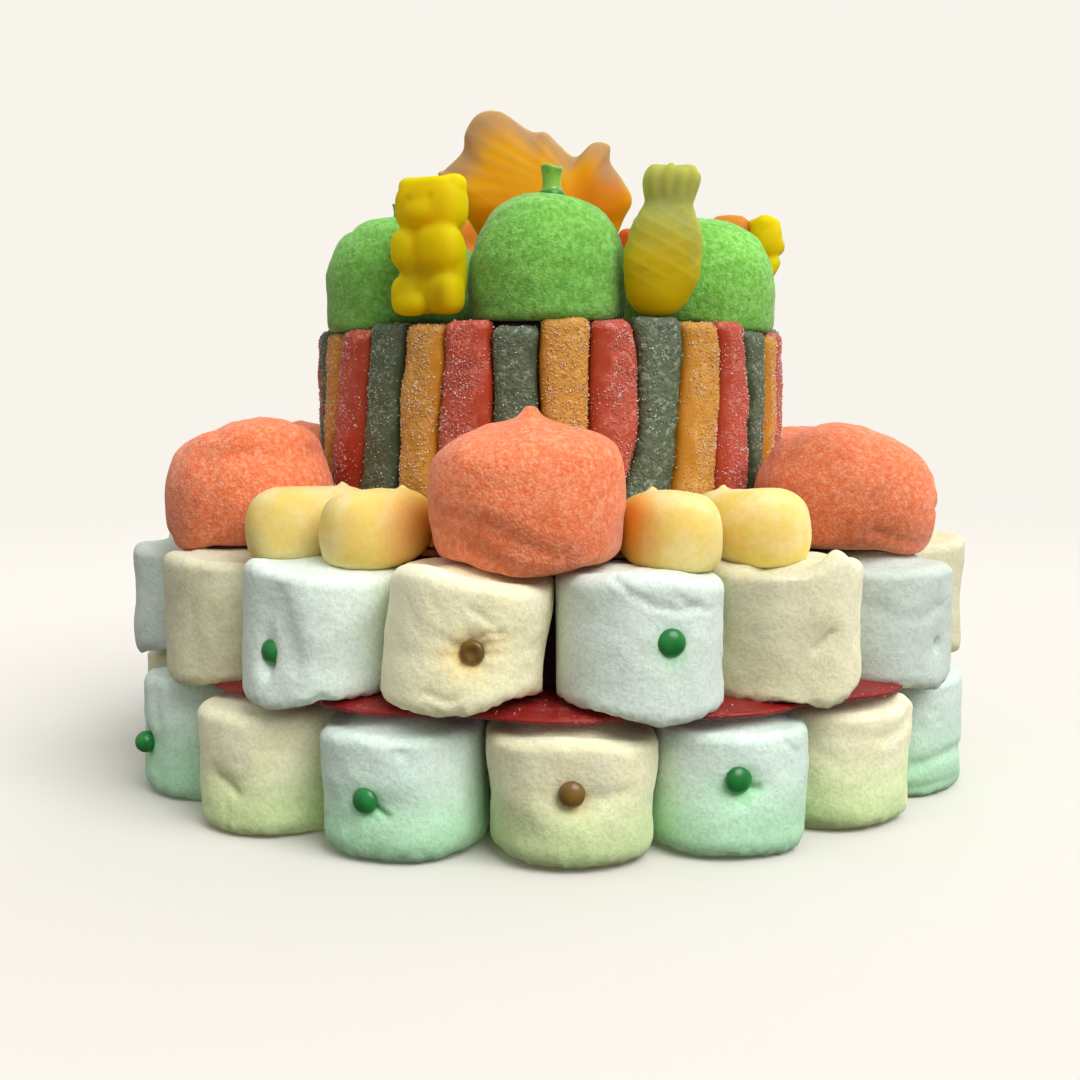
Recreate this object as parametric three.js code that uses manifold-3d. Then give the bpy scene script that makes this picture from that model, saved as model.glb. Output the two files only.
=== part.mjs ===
// Candy cake: two rings of marshmallows round a jelly core, a drum of sugared jelly strips on
// top of them, sugar-coated marshmallow balls, foam candies and gummies.
// Millimetres, +Z up. The origin is under the middle of the cake and the front faces -Y.
// Angles go round the cake in degrees, from 0 at the front towards +X.
import * as THREE from 'three';
import { mergeVertices } from 'three/addons/utils/BufferGeometryUtils.js';
import Module from 'manifold-3d';

const wasm = await Module();
wasm.setup();

// Driving dimensions.
const AIR = 0.3; // left between pieces that touch
const MARSHMALLOWS_IN_RING = 16;
const MARSHMALLOW_RADIUS = 16.05;
const RING_STEP = 360 / MARSHMALLOWS_IN_RING;
const LOWER_RING = { centre: 82.1, base: 0, height: 27.3, firstAngle: 2.4 };
const UPPER_RING = { centre: 82.7, base: 29.9, height: 25.2, firstAngle: -10.5 };
const FRONT_SAG = 2; // how far an upper marshmallow hangs over the belt's edge
const FRONT_LIP = 0.9; // how far its front rim stands up round the candies that press on it
const BELT = { inner: 66.2, outer: 90.6, wave: 2.4, thickness: 1.8 };
const CORE_RADIUS = 65.6;
const DRUM_CORE_RADIUS = 47.4;
const DRUM_HEIGHT = 47.7;
const STRIP_COUNT = 33;
const STRIP_FIRST_ANGLE = 3.1;
const STRIP_OUTER_RADIUS = 55.4;
const STRIP_TOP = 101.9;
const BALL_SIDES = 12;
const GREEN_BALL_CENTRE = 39;
const PICK_HEAD = { foot: 2.8, footHeight: 1.6, stem: 1.8, rim: 2.1, height: 6.6, sunk: 1 };
const PICK_BEAD = 4.9; // width of the round head of a pick
const FOAM = { centre: 74.6, halfWidth: 9.3, halfLength: 15.6, height: 13.2, peak: [0, 8, 14] };
const BEAR_HEIGHT = 30; // the bear's own measures are for this height

// Heights that follow from them.
const BELT_BASE = LOWER_RING.height + AIR;
const BELT_TOP = BELT_BASE + BELT.thickness;
const SHOULDER = UPPER_RING.base + UPPER_RING.height - AIR;
const RING_TOP = UPPER_RING.base + UPPER_RING.height + AIR;
const DRUM_TOP = SHOULDER + DRUM_HEIGHT;
const TOPPING_BASE = DRUM_TOP + AIR;

const COLOURS = {
  yellowMarshmallow: 0xddd8b0,
  blueMarshmallow: 0xc7dbd2,
  mintMarshmallow: 0xbddcc0,
  orangeBall: 0xf1875c,
  greenBall: 0x86c960,
  foam: 0xeed678,
  strips: 0xb0583c,
  jelly: 0x5a1d14,
  belt: 0x8c3028,
  yellowGummy: 0xd3ad05,
  pineappleGummy: 0xa9a44a,
  orangeGummy: 0xdd9424,
};

/** Numbers from 0 to 1 that are the same in each run. */
function seededRandom(seed) {
  let state = seed;
  return () => {
    state = (state * 1664525 + 1013904223) % 4294967296;
    return state / 4294967296;
  };
}

const radians = THREE.MathUtils.degToRad;

/** Closed skin from a bottom point over rings of points, each going anticlockwise, to a top. */
function skinOverRings(bottom, rings, top) {
  const sides = rings[0].length;
  const points = [bottom, ...rings.flat(), top];
  const at = (ring, side) => 1 + ring * sides + (side % sides);
  const indices = [];
  for (let side = 0; side < sides; side += 1) {
    indices.push(0, at(0, side + 1), at(0, side));
    for (let ring = 0; ring + 1 < rings.length; ring += 1) {
      indices.push(at(ring, side), at(ring, side + 1), at(ring + 1, side + 1));
      indices.push(at(ring, side), at(ring + 1, side + 1), at(ring + 1, side));
    }
    indices.push(at(rings.length - 1, side), at(rings.length - 1, side + 1), points.length - 1);
  }
  return new THREE.BufferGeometry().setFromPoints(points).setIndex(indices);
}

/** Closed skin over equal cross-sections that follow each other round the cake. */
function skinRoundCake(sections) {
  const corners = sections[0].length;
  const at = (section, corner) => (section % sections.length) * corners + (corner % corners);
  const indices = [];
  for (let section = 0; section < sections.length; section += 1) {
    for (let corner = 0; corner < corners; corner += 1) {
      indices.push(at(section, corner), at(section + 1, corner), at(section + 1, corner + 1));
      indices.push(at(section, corner), at(section + 1, corner + 1), at(section, corner + 1));
    }
  }
  return new THREE.BufferGeometry().setFromPoints(sections.flat()).setIndex(indices);
}

/** Point at a radius, an angle round the cake and a height. */
function aroundCake(radius, angle, height) {
  const turn = radians(angle);
  return new THREE.Vector3(radius * Math.sin(turn), -radius * Math.cos(turn), height);
}

/** Ellipsoid with few faces. */
function blob(width, depth, height, x, y, z, sides = 8) {
  const geometry = new THREE.SphereGeometry(1, sides, Math.round(sides * 0.7));
  return geometry.rotateX(Math.PI / 2).scale(width / 2, depth / 2, height / 2).translate(x, y, z);
}

/** Turns a closed geometry into a solid that can be joined or cut. */
function toSolid(geometry) {
  const bare = geometry.clone();
  bare.deleteAttribute('normal');
  bare.deleteAttribute('uv');
  const merged = mergeVertices(bare, 1e-5);
  return new wasm.Manifold(new wasm.Mesh({
    numProp: 3,
    vertProperties: new Float32Array(merged.attributes.position.array),
    triVerts: new Uint32Array(merged.index.array),
  }));
}

/** One geometry from solids that overlap. */
function joined(geometries) {
  const whole = geometries.map(toSolid).reduce((sum, solid) => sum.add(solid));
  const mesh = whole.getMesh();
  const geometry = new THREE.BufferGeometry();
  geometry.setAttribute('position', new THREE.BufferAttribute(mesh.vertProperties, 3));
  return geometry.setIndex(new THREE.BufferAttribute(mesh.triVerts, 1));
}

const cake = new THREE.Group();

/** Adds a named piece at a place round the cake, turned so that its own front faces outwards. */
function addPiece(name, geometry, colour, { radius = 0, angle = 0, height = 0, turn = angle } = {}) {
  const material = new THREE.MeshStandardMaterial({ color: colour, roughness: 0.6, metalness: 0 });
  const mesh = new THREE.Mesh(geometry, material);
  mesh.name = name;
  mesh.position.copy(aroundCake(radius, angle, height));
  mesh.rotation.z = radians(turn);
  cake.add(mesh);
}

/** Share of full strength towards the piece's own front, 1 at the front and 0 from the sides on. */
function frontShare(angle, power) {
  return Math.max(0, -Math.sin(angle)) ** power;
}

/**
 * Marshmallow: a short round bolster. Its rings are [share of radius, height, share of the
 * front's sag, share of the front's lip].
 */
function marshmallow(height, { sag, lip, topScale, bottomScale, phase }) {
  const edge = 3.2;
  const profile = [
    [0.9 * bottomScale, 0, 1, 0],
    [1, edge, 0.6, 0],
    [1, height - edge, 0, 0.5],
    [0.86 * topScale, height, 0, 1],
  ];
  if (sag > 0) profile.unshift([0.74, 0, 0, 0]);
  if (lip > 0) profile.push([0.64, height, 0, 0]);
  const sides = 12;
  const rings = profile.map(([share, z, sagShare, lipShare]) => {
    const ring = [];
    for (let side = 0; side < sides; side += 1) {
      const angle = phase + (side / sides) * 2 * Math.PI;
      const drop = sag * sagShare * frontShare(angle, 5);
      const rise = lip * lipShare * frontShare(angle, 2);
      const reach = MARSHMALLOW_RADIUS * share;
      ring.push(new THREE.Vector3(reach * Math.cos(angle), reach * Math.sin(angle), z - drop + rise));
    }
    return ring;
  });
  const bottom = new THREE.Vector3(0, 0, 0);
  return skinOverRings(bottom, rings, new THREE.Vector3(0, 0, height));
}

/** Round head of a pick, pushed into the front of a marshmallow at x across and z up. */
function pickBead(x, z, proud = 1.3) {
  const surface = -Math.sqrt(MARSHMALLOW_RADIUS ** 2 - x ** 2);
  const y = surface + PICK_BEAD / 2 - proud;
  return blob(PICK_BEAD, PICK_BEAD, PICK_BEAD, x, y, z, 7);
}

/** Places of the pick heads, [across, up, proud], by the marshmallow's number in its ring. */
const LOWER_BEADS = {
  1: [0, 15.3],
  2: [-5.9, 16.1],
  5: [2.4, 13.2],
  7: [-3.5, 11.8],
  9: [1.2, 15.1],
  10: [-1.8, 12.5],
  12: [4.1, 13.8],
  14: [1.7, 11.9, 2.8],
  16: [-0.7, 12.4],
};
const UPPER_BEADS = {
  1: [3.9, 11.2],
  2: [1.7, 12.9],
  6: [-2.6, 12.8],
  7: [3.3, 10.4],
  9: [-1.4, 13.1],
  11: [2.2, 11.3],
  12: [-3.8, 10.9],
  16: [0.3, 9],
};

function addMarshmallowRing(name, ring, beads, colours, sag, lip, seed) {
  const random = seededRandom(seed);
  for (let index = 0; index < MARSHMALLOWS_IN_RING; index += 1) {
    const number = index + 1;
    const body = marshmallow(ring.height, {
      sag,
      lip: lip * (0.6 + 0.4 * random()),
      topScale: 0.96 + 0.05 * random(),
      bottomScale: 0.95 + 0.05 * random(),
      phase: 0.16 * (random() - 0.5),
    });
    const geometry = beads[number] ? joined([body, pickBead(...beads[number])]) : body;
    const angle = ring.firstAngle + index * RING_STEP;
    const label = `${name}_${String(number).padStart(2, '0')}`;
    addPiece(label, geometry, colours[index % 2], { radius: ring.centre, angle, height: ring.base });
  }
}

/** Jelly core: a wide tier inside the marshmallow rings and a narrower drum on it. */
function jellyCore() {
  const bevel = 1;
  const profile = [
    [CORE_RADIUS - bevel, 0],
    [CORE_RADIUS, bevel],
    [CORE_RADIUS, SHOULDER],
    [DRUM_CORE_RADIUS, SHOULDER],
    [DRUM_CORE_RADIUS, DRUM_TOP],
  ];
  const sides = 32;
  const rings = profile.map(([radius, z]) => (
    Array.from({ length: sides }, (_, side) => aroundCake(radius, (side / sides) * 360, z))
  ));
  const middle = (z) => new THREE.Vector3(0, 0, z);
  return skinOverRings(middle(0), rings, middle(DRUM_TOP));
}

/** Flat jelly belt between the rings, wavy where it swells out between upper marshmallows. */
function jellyBelt() {
  const sections = [];
  const steps = MARSHMALLOWS_IN_RING * 3;
  for (let step = 0; step < steps; step += 1) {
    const angle = UPPER_RING.firstAngle + (step / steps) * 360;
    const swell = Math.cos(2 * Math.PI * (step / 3));
    const outer = BELT.outer - BELT.wave * swell;
    sections.push([
      aroundCake(outer, angle, BELT_BASE),
      aroundCake(outer, angle, BELT_TOP),
      aroundCake(BELT.inner, angle, BELT_TOP),
      aroundCake(BELT.inner, angle, BELT_BASE),
    ]);
  }
  return skinRoundCake(sections);
}

/** Height of one strip's top: every second strip stands a little taller. */
function stripTop(index) {
  const alternate = index % 2 === 0 ? 0.35 : -0.45;
  return STRIP_TOP + alternate + 0.3 * Math.sin(0.9 * index);
}

/** Degrees that a strip has swung aside at a share of the wall's height, 0 at the bottom. */
function stripSway(index, share) {
  return 0.9 * Math.sin(0.7 * index + 0.4) * (1 - share);
}

/** Wall of upright jelly strips that stand side by side round the drum. */
function stripWall() {
  const inner = DRUM_CORE_RADIUS + AIR;
  const base = SHOULDER + AIR;
  const groove = 1.1;
  const edge = 1.2;
  const pitch = 360 / STRIP_COUNT;
  const sections = [];
  const addSection = (index, offset, radius, top) => {
    const angle = (share) => STRIP_FIRST_ANGLE + (index + offset) * pitch + stripSway(index, share);
    const middle = (base + top) / 2;
    sections.push([
      aroundCake(radius, angle(0), base),
      aroundCake(radius, angle(0.5), middle),
      aroundCake(radius, angle(1), top - edge),
      aroundCake(radius - edge, angle(1), top),
      aroundCake(inner, angle(1), top),
      aroundCake(inner, angle(0), base),
    ]);
  };
  for (let index = 0; index < STRIP_COUNT; index += 1) {
    const lowCorner = Math.min(stripTop(index), stripTop(index - 1)) - edge;
    addSection(index, -0.5, STRIP_OUTER_RADIUS - groove, lowCorner);
    addSection(index, -0.3, STRIP_OUTER_RADIUS, stripTop(index));
    addSection(index, 0.3, STRIP_OUTER_RADIUS, stripTop(index));
  }
  return skinRoundCake(sections);
}

/**
 * Soft candy with a flat foot. Its profile is [share of the half width, share of the height];
 * a taper makes its front end fuller than its back end, and the peak is where its tip stands.
 */
function softCandy({ profile, halfWidth, halfLength, height, sides, taper = 0, peak }) {
  const rings = profile.map(([share, level]) => {
    const ring = [];
    for (let side = 0; side < sides; side += 1) {
      const angle = (side / sides) * 2 * Math.PI;
      const along = Math.sin(angle);
      const full = 1 - taper * along;
      ring.push(new THREE.Vector3(
        halfWidth * share * full * Math.cos(angle),
        halfLength * share * along,
        height * level * (level > 0 ? full : 1),
      ));
    }
    return ring;
  });
  return skinOverRings(new THREE.Vector3(0, 0, 0), rings, peak);
}

/** Orange balls: domes with a wide flat foot, pinched into a small tip. */
const ORANGE_BALLS = [
  { angle: -3.3, centre: 77, radius: 19.1, height: 25.6, tip: 4.2, tipAt: [0.8, 0] },
  { angle: 57, centre: 75.5, radius: 19.2, height: 25.4, tip: 0.4, tipAt: [-1, 2] },
  { angle: 118, centre: 76, radius: 18.8, height: 23.4, tip: 0.3, tipAt: [1, -1] },
  { angle: 178, centre: 76, radius: 18.6, height: 26.4, tip: 3.4, tipAt: [-1, 0] },
  { angle: -118.5, centre: 76.6, radius: 18.7, height: 24, tip: 1.4, tipAt: [1, 1] },
  { angle: -62, centre: 74.8, radius: 18.5, height: 26.6, tip: 0.8, tipAt: [5, 1] },
];

function orangeBall({ radius, height, tip, tipAt }) {
  const profile = [
    [0.77, 0],
    [0.97, 0.2],
    [1, 0.4],
    [0.9, 0.68],
    [0.66, 0.88],
    [0.16, 1],
  ];
  const peak = new THREE.Vector3(...tipAt, height + tip);
  const size = { halfWidth: radius, halfLength: radius, height };
  return softCandy({ profile, ...size, sides: BALL_SIDES, peak });
}

/** Green balls: taller domes with straight sides. */
const GREEN_BALLS = [
  { angle: -1, radius: 16.6, height: 27.3, pick: [1, 0] },
  { angle: 60, radius: 17, height: 24.4 },
  { angle: 120, radius: 16.8, height: 25.6, pick: [0, 1] },
  { angle: 180, radius: 16.7, height: 26.8 },
  { angle: -120, radius: 16.9, height: 25.8 },
  { angle: -60, radius: 17.1, height: 24.6, pick: [0.5, 0] },
];

/** Head of a pick that stands on a ball: a small stem with a flared foot and rim. */
function pickHead([x, y], base) {
  const { foot, footHeight, stem, rim, height } = PICK_HEAD;
  const profile = [
    [foot, 0],
    [foot, footHeight],
    [stem, footHeight + 0.6],
    [stem, height - 1],
    [rim, height],
  ];
  const sides = 8;
  const rings = profile.map(([radius, z]) => (
    Array.from({ length: sides }, (_, side) => {
      const angle = (side / sides) * 2 * Math.PI;
      return new THREE.Vector3(x + radius * Math.cos(angle), y + radius * Math.sin(angle), base + z);
    })
  ));
  const middle = (z) => new THREE.Vector3(x, y, z);
  return skinOverRings(middle(base), rings, middle(base + height));
}

function greenBall({ radius, height, pick }) {
  const profile = [
    [0.9, 0],
    [1, 0.13],
    [0.99, 0.48],
    [0.84, 0.78],
    [0.5, 0.96],
  ];
  const peak = new THREE.Vector3(0, 0, height);
  const size = { halfWidth: radius, halfLength: radius, height };
  const ball = softCandy({ profile, ...size, sides: BALL_SIDES, peak });
  return pick ? joined([ball, pickHead(pick, height - PICK_HEAD.sunk)]) : ball;
}

/** Foam candies lie in pairs between the orange balls, long side pointing outwards. */
const FOAM_PAIRS = [
  { angle: 24.4, spread: 13 },
  { angle: 87.5, spread: 13.4 },
  { angle: 148, spread: 13 },
  { angle: -151.5, spread: 13.4 },
  { angle: -90.5, spread: 13 },
  { angle: -33.8, spread: 14 },
];

function foamPair(spread) {
  const profile = [
    [0.72, 0],
    [0.96, 0.22],
    [1, 0.5],
    [0.84, 0.82],
    [0.45, 0.99],
  ];
  const halves = [-spread / 2, spread / 2].map((angle) => {
    const peak = new THREE.Vector3(...FOAM.peak);
    const foam = softCandy({ ...FOAM, profile, sides: 10, taper: 0.1, peak });
    const place = aroundCake(FOAM.centre, angle, 0);
    return foam.rotateZ(radians(angle)).translate(place.x, place.y + FOAM.centre, 0);
  });
  return joined(halves);
}

/**
 * Moulded gummy bear, standing, with its face to the front. Each row is the width, depth and
 * height of one rounded part and where its middle is.
 */
function gummyBear(height) {
  const body = [15, 9, 20, 0, 0.6, 9.8];
  const head = [15.6, 9.2, 12.6, 0, 0.4, 22.6];
  const muzzle = [7.2, 4.6, 5.6, 0, -3.4, 21.2];
  const ear = [6.6, 4.6, 6.4, 5.4, 0.8, 27];
  const arm = [8.2, 6.4, 8.4, 5, -2.2, 14.6];
  const leg = [8.6, 7, 9, 4.6, -1.8, 4.4];
  const mirrored = ([width, depth, tall, x, y, z]) => [width, depth, tall, -x, y, z];
  const parts = [body, head, muzzle, ear, arm, leg, ...[ear, arm, leg].map(mirrored)];
  const unit = height / BEAR_HEIGHT;
  return joined(parts.map((part) => blob(...part.map((size) => size * unit), 7)));
}

/** Moulded pineapple: a plump body, a neck and a tuft of leaves, leaning to one side. */
function gummyPineapple(height, lean) {
  const profile = [
    [3.4, 0],
    [6.6, 0.06],
    [8.2, 0.2],
    [8.7, 0.38],
    [7.9, 0.56],
    [6, 0.72],
    [5.1, 0.79],
    [6.1, 0.86],
    [6.2, 0.96],
    [4.2, 1],
  ];
  const flatness = 0.62;
  const sides = 10;
  const rings = profile.map(([radius, level]) => (
    Array.from({ length: sides }, (_, side) => {
      const angle = (side / sides) * 2 * Math.PI;
      const x = lean * level + radius * Math.cos(angle);
      return new THREE.Vector3(x, radius * flatness * Math.sin(angle), height * level);
    })
  ));
  return skinOverRings(new THREE.Vector3(0, 0, 0), rings, new THREE.Vector3(lean, 0, height));
}

/** Moulded gummy dome: a tall slab with a round top, edge on to the front. */
function gummyDome(height, y) {
  const profile = [
    [0.5, 0],
    [0.72, 0.12],
    [0.9, 0.5],
    [1, 0.74],
    [0.78, 0.92],
  ];
  const peak = new THREE.Vector3(0, 0, height);
  const size = { halfWidth: 4.4, halfLength: 6.4, height };
  return softCandy({ profile, ...size, sides: 10, peak }).translate(0, y, 0);
}

/**
 * Outline of the fan on top, seen from the front, as [degrees up from +X, reach] round a point
 * in its middle: a narrow foot, a high left lobe, a notch and a smaller right lobe.
 */
const SHELL_MIDDLE = { x: -1.9, z: 125.7 };
const SHELL_OUTLINE = [
  [9, 19.4], [21, 23], [34, 23.2], [47, 23.8], [53, 26.6], [61, 25], [67, 20.2], [80, 21.9],
  [88, 24.3], [97, 24.9], [109, 30.8], [118, 32.5], [127, 30.6], [134, 27.6], [146, 28.1],
  [151, 28.3], [170, 17.7], [200, 13.9], [225, 15.6], [256, 23.4], [274, 22.8], [292, 24.4],
  [318, 19.4], [340, 17],
];
const SHELL_THICKNESS = 9;

function gummyShell() {
  const rows = [
    [0.4, 1],
    [0.72, 0.86],
    [0.93, 0.55],
  ];
  const ring = ([share, fullness], side) => SHELL_OUTLINE.map(([degrees, reach]) => {
    const angle = radians(degrees);
    return new THREE.Vector3(
      SHELL_MIDDLE.x + reach * share * Math.cos(angle),
      side * fullness * SHELL_THICKNESS / 2,
      SHELL_MIDDLE.z + reach * share * Math.sin(angle),
    );
  });
  const back = rows.map((row) => ring(row, 1));
  const front = rows.map((row) => ring(row, -1)).reverse();
  const middle = (y) => new THREE.Vector3(SHELL_MIDDLE.x, y, SHELL_MIDDLE.z);
  const half = SHELL_THICKNESS / 2;
  return skinOverRings(middle(half), [...back, ring([1, 0], 1), ...front], middle(-half));
}

const { yellowMarshmallow, blueMarshmallow, mintMarshmallow } = COLOURS;
const lowerColours = [yellowMarshmallow, mintMarshmallow];
const upperColours = [yellowMarshmallow, blueMarshmallow];
addMarshmallowRing('lower_marshmallow', LOWER_RING, LOWER_BEADS, lowerColours, 0, 0, 11);
addMarshmallowRing(
  'upper_marshmallow', UPPER_RING, UPPER_BEADS, upperColours, FRONT_SAG, FRONT_LIP, 29,
);

addPiece('core', jellyCore(), COLOURS.jelly);
addPiece('belt', jellyBelt(), COLOURS.belt);
addPiece('strip_wall', stripWall(), COLOURS.strips);

ORANGE_BALLS.forEach((ball, index) => {
  const place = { radius: ball.centre, angle: ball.angle, height: RING_TOP };
  addPiece(`orange_ball_${index + 1}`, orangeBall(ball), COLOURS.orangeBall, place);
});
FOAM_PAIRS.forEach(({ angle, spread }, index) => {
  const place = { radius: FOAM.centre, angle, height: RING_TOP };
  addPiece(`foam_pair_${index + 1}`, foamPair(spread), COLOURS.foam, place);
});
GREEN_BALLS.forEach((ball, index) => {
  const place = { radius: GREEN_BALL_CENTRE, angle: ball.angle, height: TOPPING_BASE };
  addPiece(`green_ball_${index + 1}`, greenBall(ball), COLOURS.greenBall, place);
});

const onRim = (radius, angle) => ({ radius, angle, height: TOPPING_BASE });
addPiece('gummy_bear_1', gummyBear(29.2), COLOURS.yellowGummy, onRim(52, -28.8));
addPiece('gummy_bear_2', gummyBear(28.8), COLOURS.yellowGummy, onRim(52, 150));
addPiece('gummy_bear_and_dome', joined([gummyBear(26), gummyDome(27.8, 8.6)]),
  COLOURS.yellowGummy, onRim(51.6, 90));
addPiece('gummy_dome', gummyDome(22, 0), COLOURS.orangeGummy, onRim(44, -90));
addPiece('gummy_pineapple_1', gummyPineapple(31.8, 3.6), COLOURS.pineappleGummy, onRim(51.8, 25.6));
addPiece('gummy_pineapple_2', gummyPineapple(31.4, -2), COLOURS.pineappleGummy, onRim(51.8, -150));
addPiece('gummy_shell', gummyShell(), COLOURS.orangeGummy);

export default cake;
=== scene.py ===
"""Dresses the solids of a two-tier candy cake with its marshmallows, sweets and stage."""
import functools
import math

import bmesh
import bpy
import numpy as np
from mathutils import Euler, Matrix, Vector


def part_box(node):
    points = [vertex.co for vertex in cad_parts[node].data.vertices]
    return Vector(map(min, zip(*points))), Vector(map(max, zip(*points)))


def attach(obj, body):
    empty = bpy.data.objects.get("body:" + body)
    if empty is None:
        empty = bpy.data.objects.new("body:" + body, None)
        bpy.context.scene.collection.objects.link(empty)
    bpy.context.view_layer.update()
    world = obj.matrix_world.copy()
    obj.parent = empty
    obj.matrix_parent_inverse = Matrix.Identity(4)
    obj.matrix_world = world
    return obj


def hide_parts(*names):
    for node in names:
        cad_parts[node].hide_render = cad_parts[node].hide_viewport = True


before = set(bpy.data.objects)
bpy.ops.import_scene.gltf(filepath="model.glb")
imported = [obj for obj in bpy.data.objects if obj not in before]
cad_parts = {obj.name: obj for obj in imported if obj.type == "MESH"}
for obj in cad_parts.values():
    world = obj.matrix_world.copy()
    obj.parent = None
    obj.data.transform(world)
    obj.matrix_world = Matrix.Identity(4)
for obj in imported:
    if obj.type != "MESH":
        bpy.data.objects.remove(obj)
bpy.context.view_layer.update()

bl_info = {
    "name": "Candy Cake",
    "version": (1, 0, 0),
    "blender": (4, 5, 0),
    "location": "View3D > Sidebar > Candy Cake",
    "description": "Builds the sweets of a candy cake over its solids",
    "category": "Mesh",
}

# Shapes are worked out in millimetres, in the frame of the solids: +Z up, the front to -Y.
# Angles go round the cake in degrees, from 0 at the front towards +X.
MM = 0.001
ROOT = "root"

MARSHMALLOWS_IN_RING = 16
RING_STEP = 360 / MARSHMALLOWS_IN_RING
RINGS = {
    "lower": {"centre": 82.1, "base": 0.0, "height": 27.3, "first_angle": 2.4, "sag": 0.0, "lip": 0.0},
    "upper": {"centre": 82.7, "base": 29.9, "height": 25.2, "first_angle": -10.5, "sag": 2.0, "lip": 0.8},
}
STRIP_COUNT = 33
STRIP_FIRST_ANGLE = 3.1
STRIP_INNER_RADIUS = 47.8
STRIP_OUTER_RADIUS = 55.4
STRIP_GRAINS = 12000  # sugar grains on the strips of one colour
BELT_INNER_RADIUS = 66.2
BELT_OUTER_RADIUS = 90.9
BELT_WAVE = 1.5  # how far its edge swells out between the upper marshmallows
BELT_SHIFT = 3.1  # how much wider it is on the side that it is laid towards
BELT_SHIFT_ANGLE = 34
BELT_DROOP = 0.7  # how far its edge hangs over the lower marshmallows
BELT_GRAINS = 900
BELT_GRAIN = 0.45  # width of a large one
# Sugar-coated balls: tip is how far the pinched top stands up and tip_at where, pick is where
# a pick head stands and pick_share how much of its height shows, slump is how far the outer
# side sags, and tone is painted light and shade: how much lighter or darker the left and
# right sides are drawn.
ORANGE_BALLS = [
    {"angle": -3.3, "centre": 77, "radius": 19.1, "height": 25.6, "tip": 4.2, "tip_at": (0.8, 0),
     "tone": (1.12, 1.0)},
    {"angle": 57, "centre": 75.5, "radius": 19.2, "height": 25.4, "tip": 0.4, "tip_at": (-1, 2),
     "tone": (0.84, 1.46)},
    {"angle": 118, "centre": 76, "radius": 18.8, "height": 23.4, "tip": 0.3, "tip_at": (1, -1)},
    {"angle": 178, "centre": 76, "radius": 18.6, "height": 26.4, "tip": 3.4, "tip_at": (-1, 0)},
    {"angle": -118.5, "centre": 76.6, "radius": 18.7, "height": 24, "tip": 1.4, "tip_at": (1, 1)},
    {"angle": -62, "centre": 74.8, "radius": 18.5, "height": 26.6, "tip": 0.8, "tip_at": (5, 1),
     "tone": (1.2, 1.02)},
]
GREEN_BALL_CENTRE = 39
GREEN_BALLS = [
    {"angle": -1, "radius": 16.6, "height": 27.3, "pick": (1, 0), "slump": 0.2},
    {"angle": 60, "radius": 17, "height": 24.4, "pick": None, "tone": (1.12, 1.36)},
    {"angle": 120, "radius": 16.8, "height": 25.6, "pick": (0, 1)},
    {"angle": 180, "radius": 16.7, "height": 26.8, "pick": None},
    {"angle": -120, "radius": 16.9, "height": 25.8, "pick": None},
    {"angle": -60, "radius": 17.1, "height": 24.6, "pick": (0.5, 0), "pick_share": 0.6, "tone": (1.2, 0.88)},
]
FOAM_CENTRE = 74.6
# Pairs of foam candies: the middle of a pair and how far apart its halves are, in degrees.
FOAM_PAIRS = [(25.1, 14.4), (87.5, 13.4), (148, 13), (-151.5, 13.4), (-90.5, 13), (-33.8, 14)]
SWEETS_LIFT = 1.2  # how far the bears and pineapples stand over the balls' base, on the strips
# Bears; tuck is how far the legs are tucked back under the body.
GUMMY_BEARS = {
    "gummy_bear_1": {"radius": 52, "angle": -28.8, "height": 29.2, "tuck": 0},
    "gummy_bear_2": {"radius": 52, "angle": 150, "height": 28.8, "tuck": 0},
    "gummy_bear_and_dome": {"radius": 51.6, "angle": 90, "height": 26, "tuck": 4},
}
# Where a bear's jelly is thick and so deeper in colour: (across, up, width, height).
BEAR_DEPTHS = ((-3.6, 7.6, 2.6, 2.2), (4.8, 3.6, 2.4, 3.8), (0.6, 8.4, 4, 1.8))
# Domes: (piece, height, how far behind its place, radius and angle of its place, node).
GUMMY_DOMES = (("dome_behind_bear", 27.8, 8.6, 51.6, 90, "gummy_bear_and_dome"),
               ("soft_gummy_dome", 22, 0, 44, -90, "gummy_dome"))
PINEAPPLE_RADIUS = 51.8
GUMMY_PINEAPPLES = ((1, 30.6, 3.6, 25.6), (2, 31.4, -2, -150))  # (number, height, lean, angle)

BACKDROP_RADIUS = 8000
PAPER_LEVEL = 0.8  # how much of the light the sheet gives back
ROOM_ABOVE = "#ffffff"
ROOM_BELOW = "#8c8478"
# Colours of single sugar grains that catch the light.
GLINTS = {
    "belt": "#c8786c", "orange_strips": "#e4b468", "red_strips": "#de9080", "green_strips": "#9aa694",
    "orange_balls": "#ffba9a", "green_balls": "#a6e088",
}
CORE_COLOURS = ("#6a2218", "#742e22", "#8c4a3c")  # bare, sugared and glinting
BELT_CRYSTALS = "#a0443c"
KEY_FROM = (0.44, -0.54, 0.72)
KEY_WIDTH = 45  # degrees of sky that the light fills
RIM_FROM = (0.5, 0.8, 0.6)
RIM_WIDTH = 60
CAMERA_ACROSS = 0.54
CAMERA_PITCH = -5.522  # degrees upwards, so it looks a little down
CAMERA_YAW = 0.492  # degrees to the left

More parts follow.
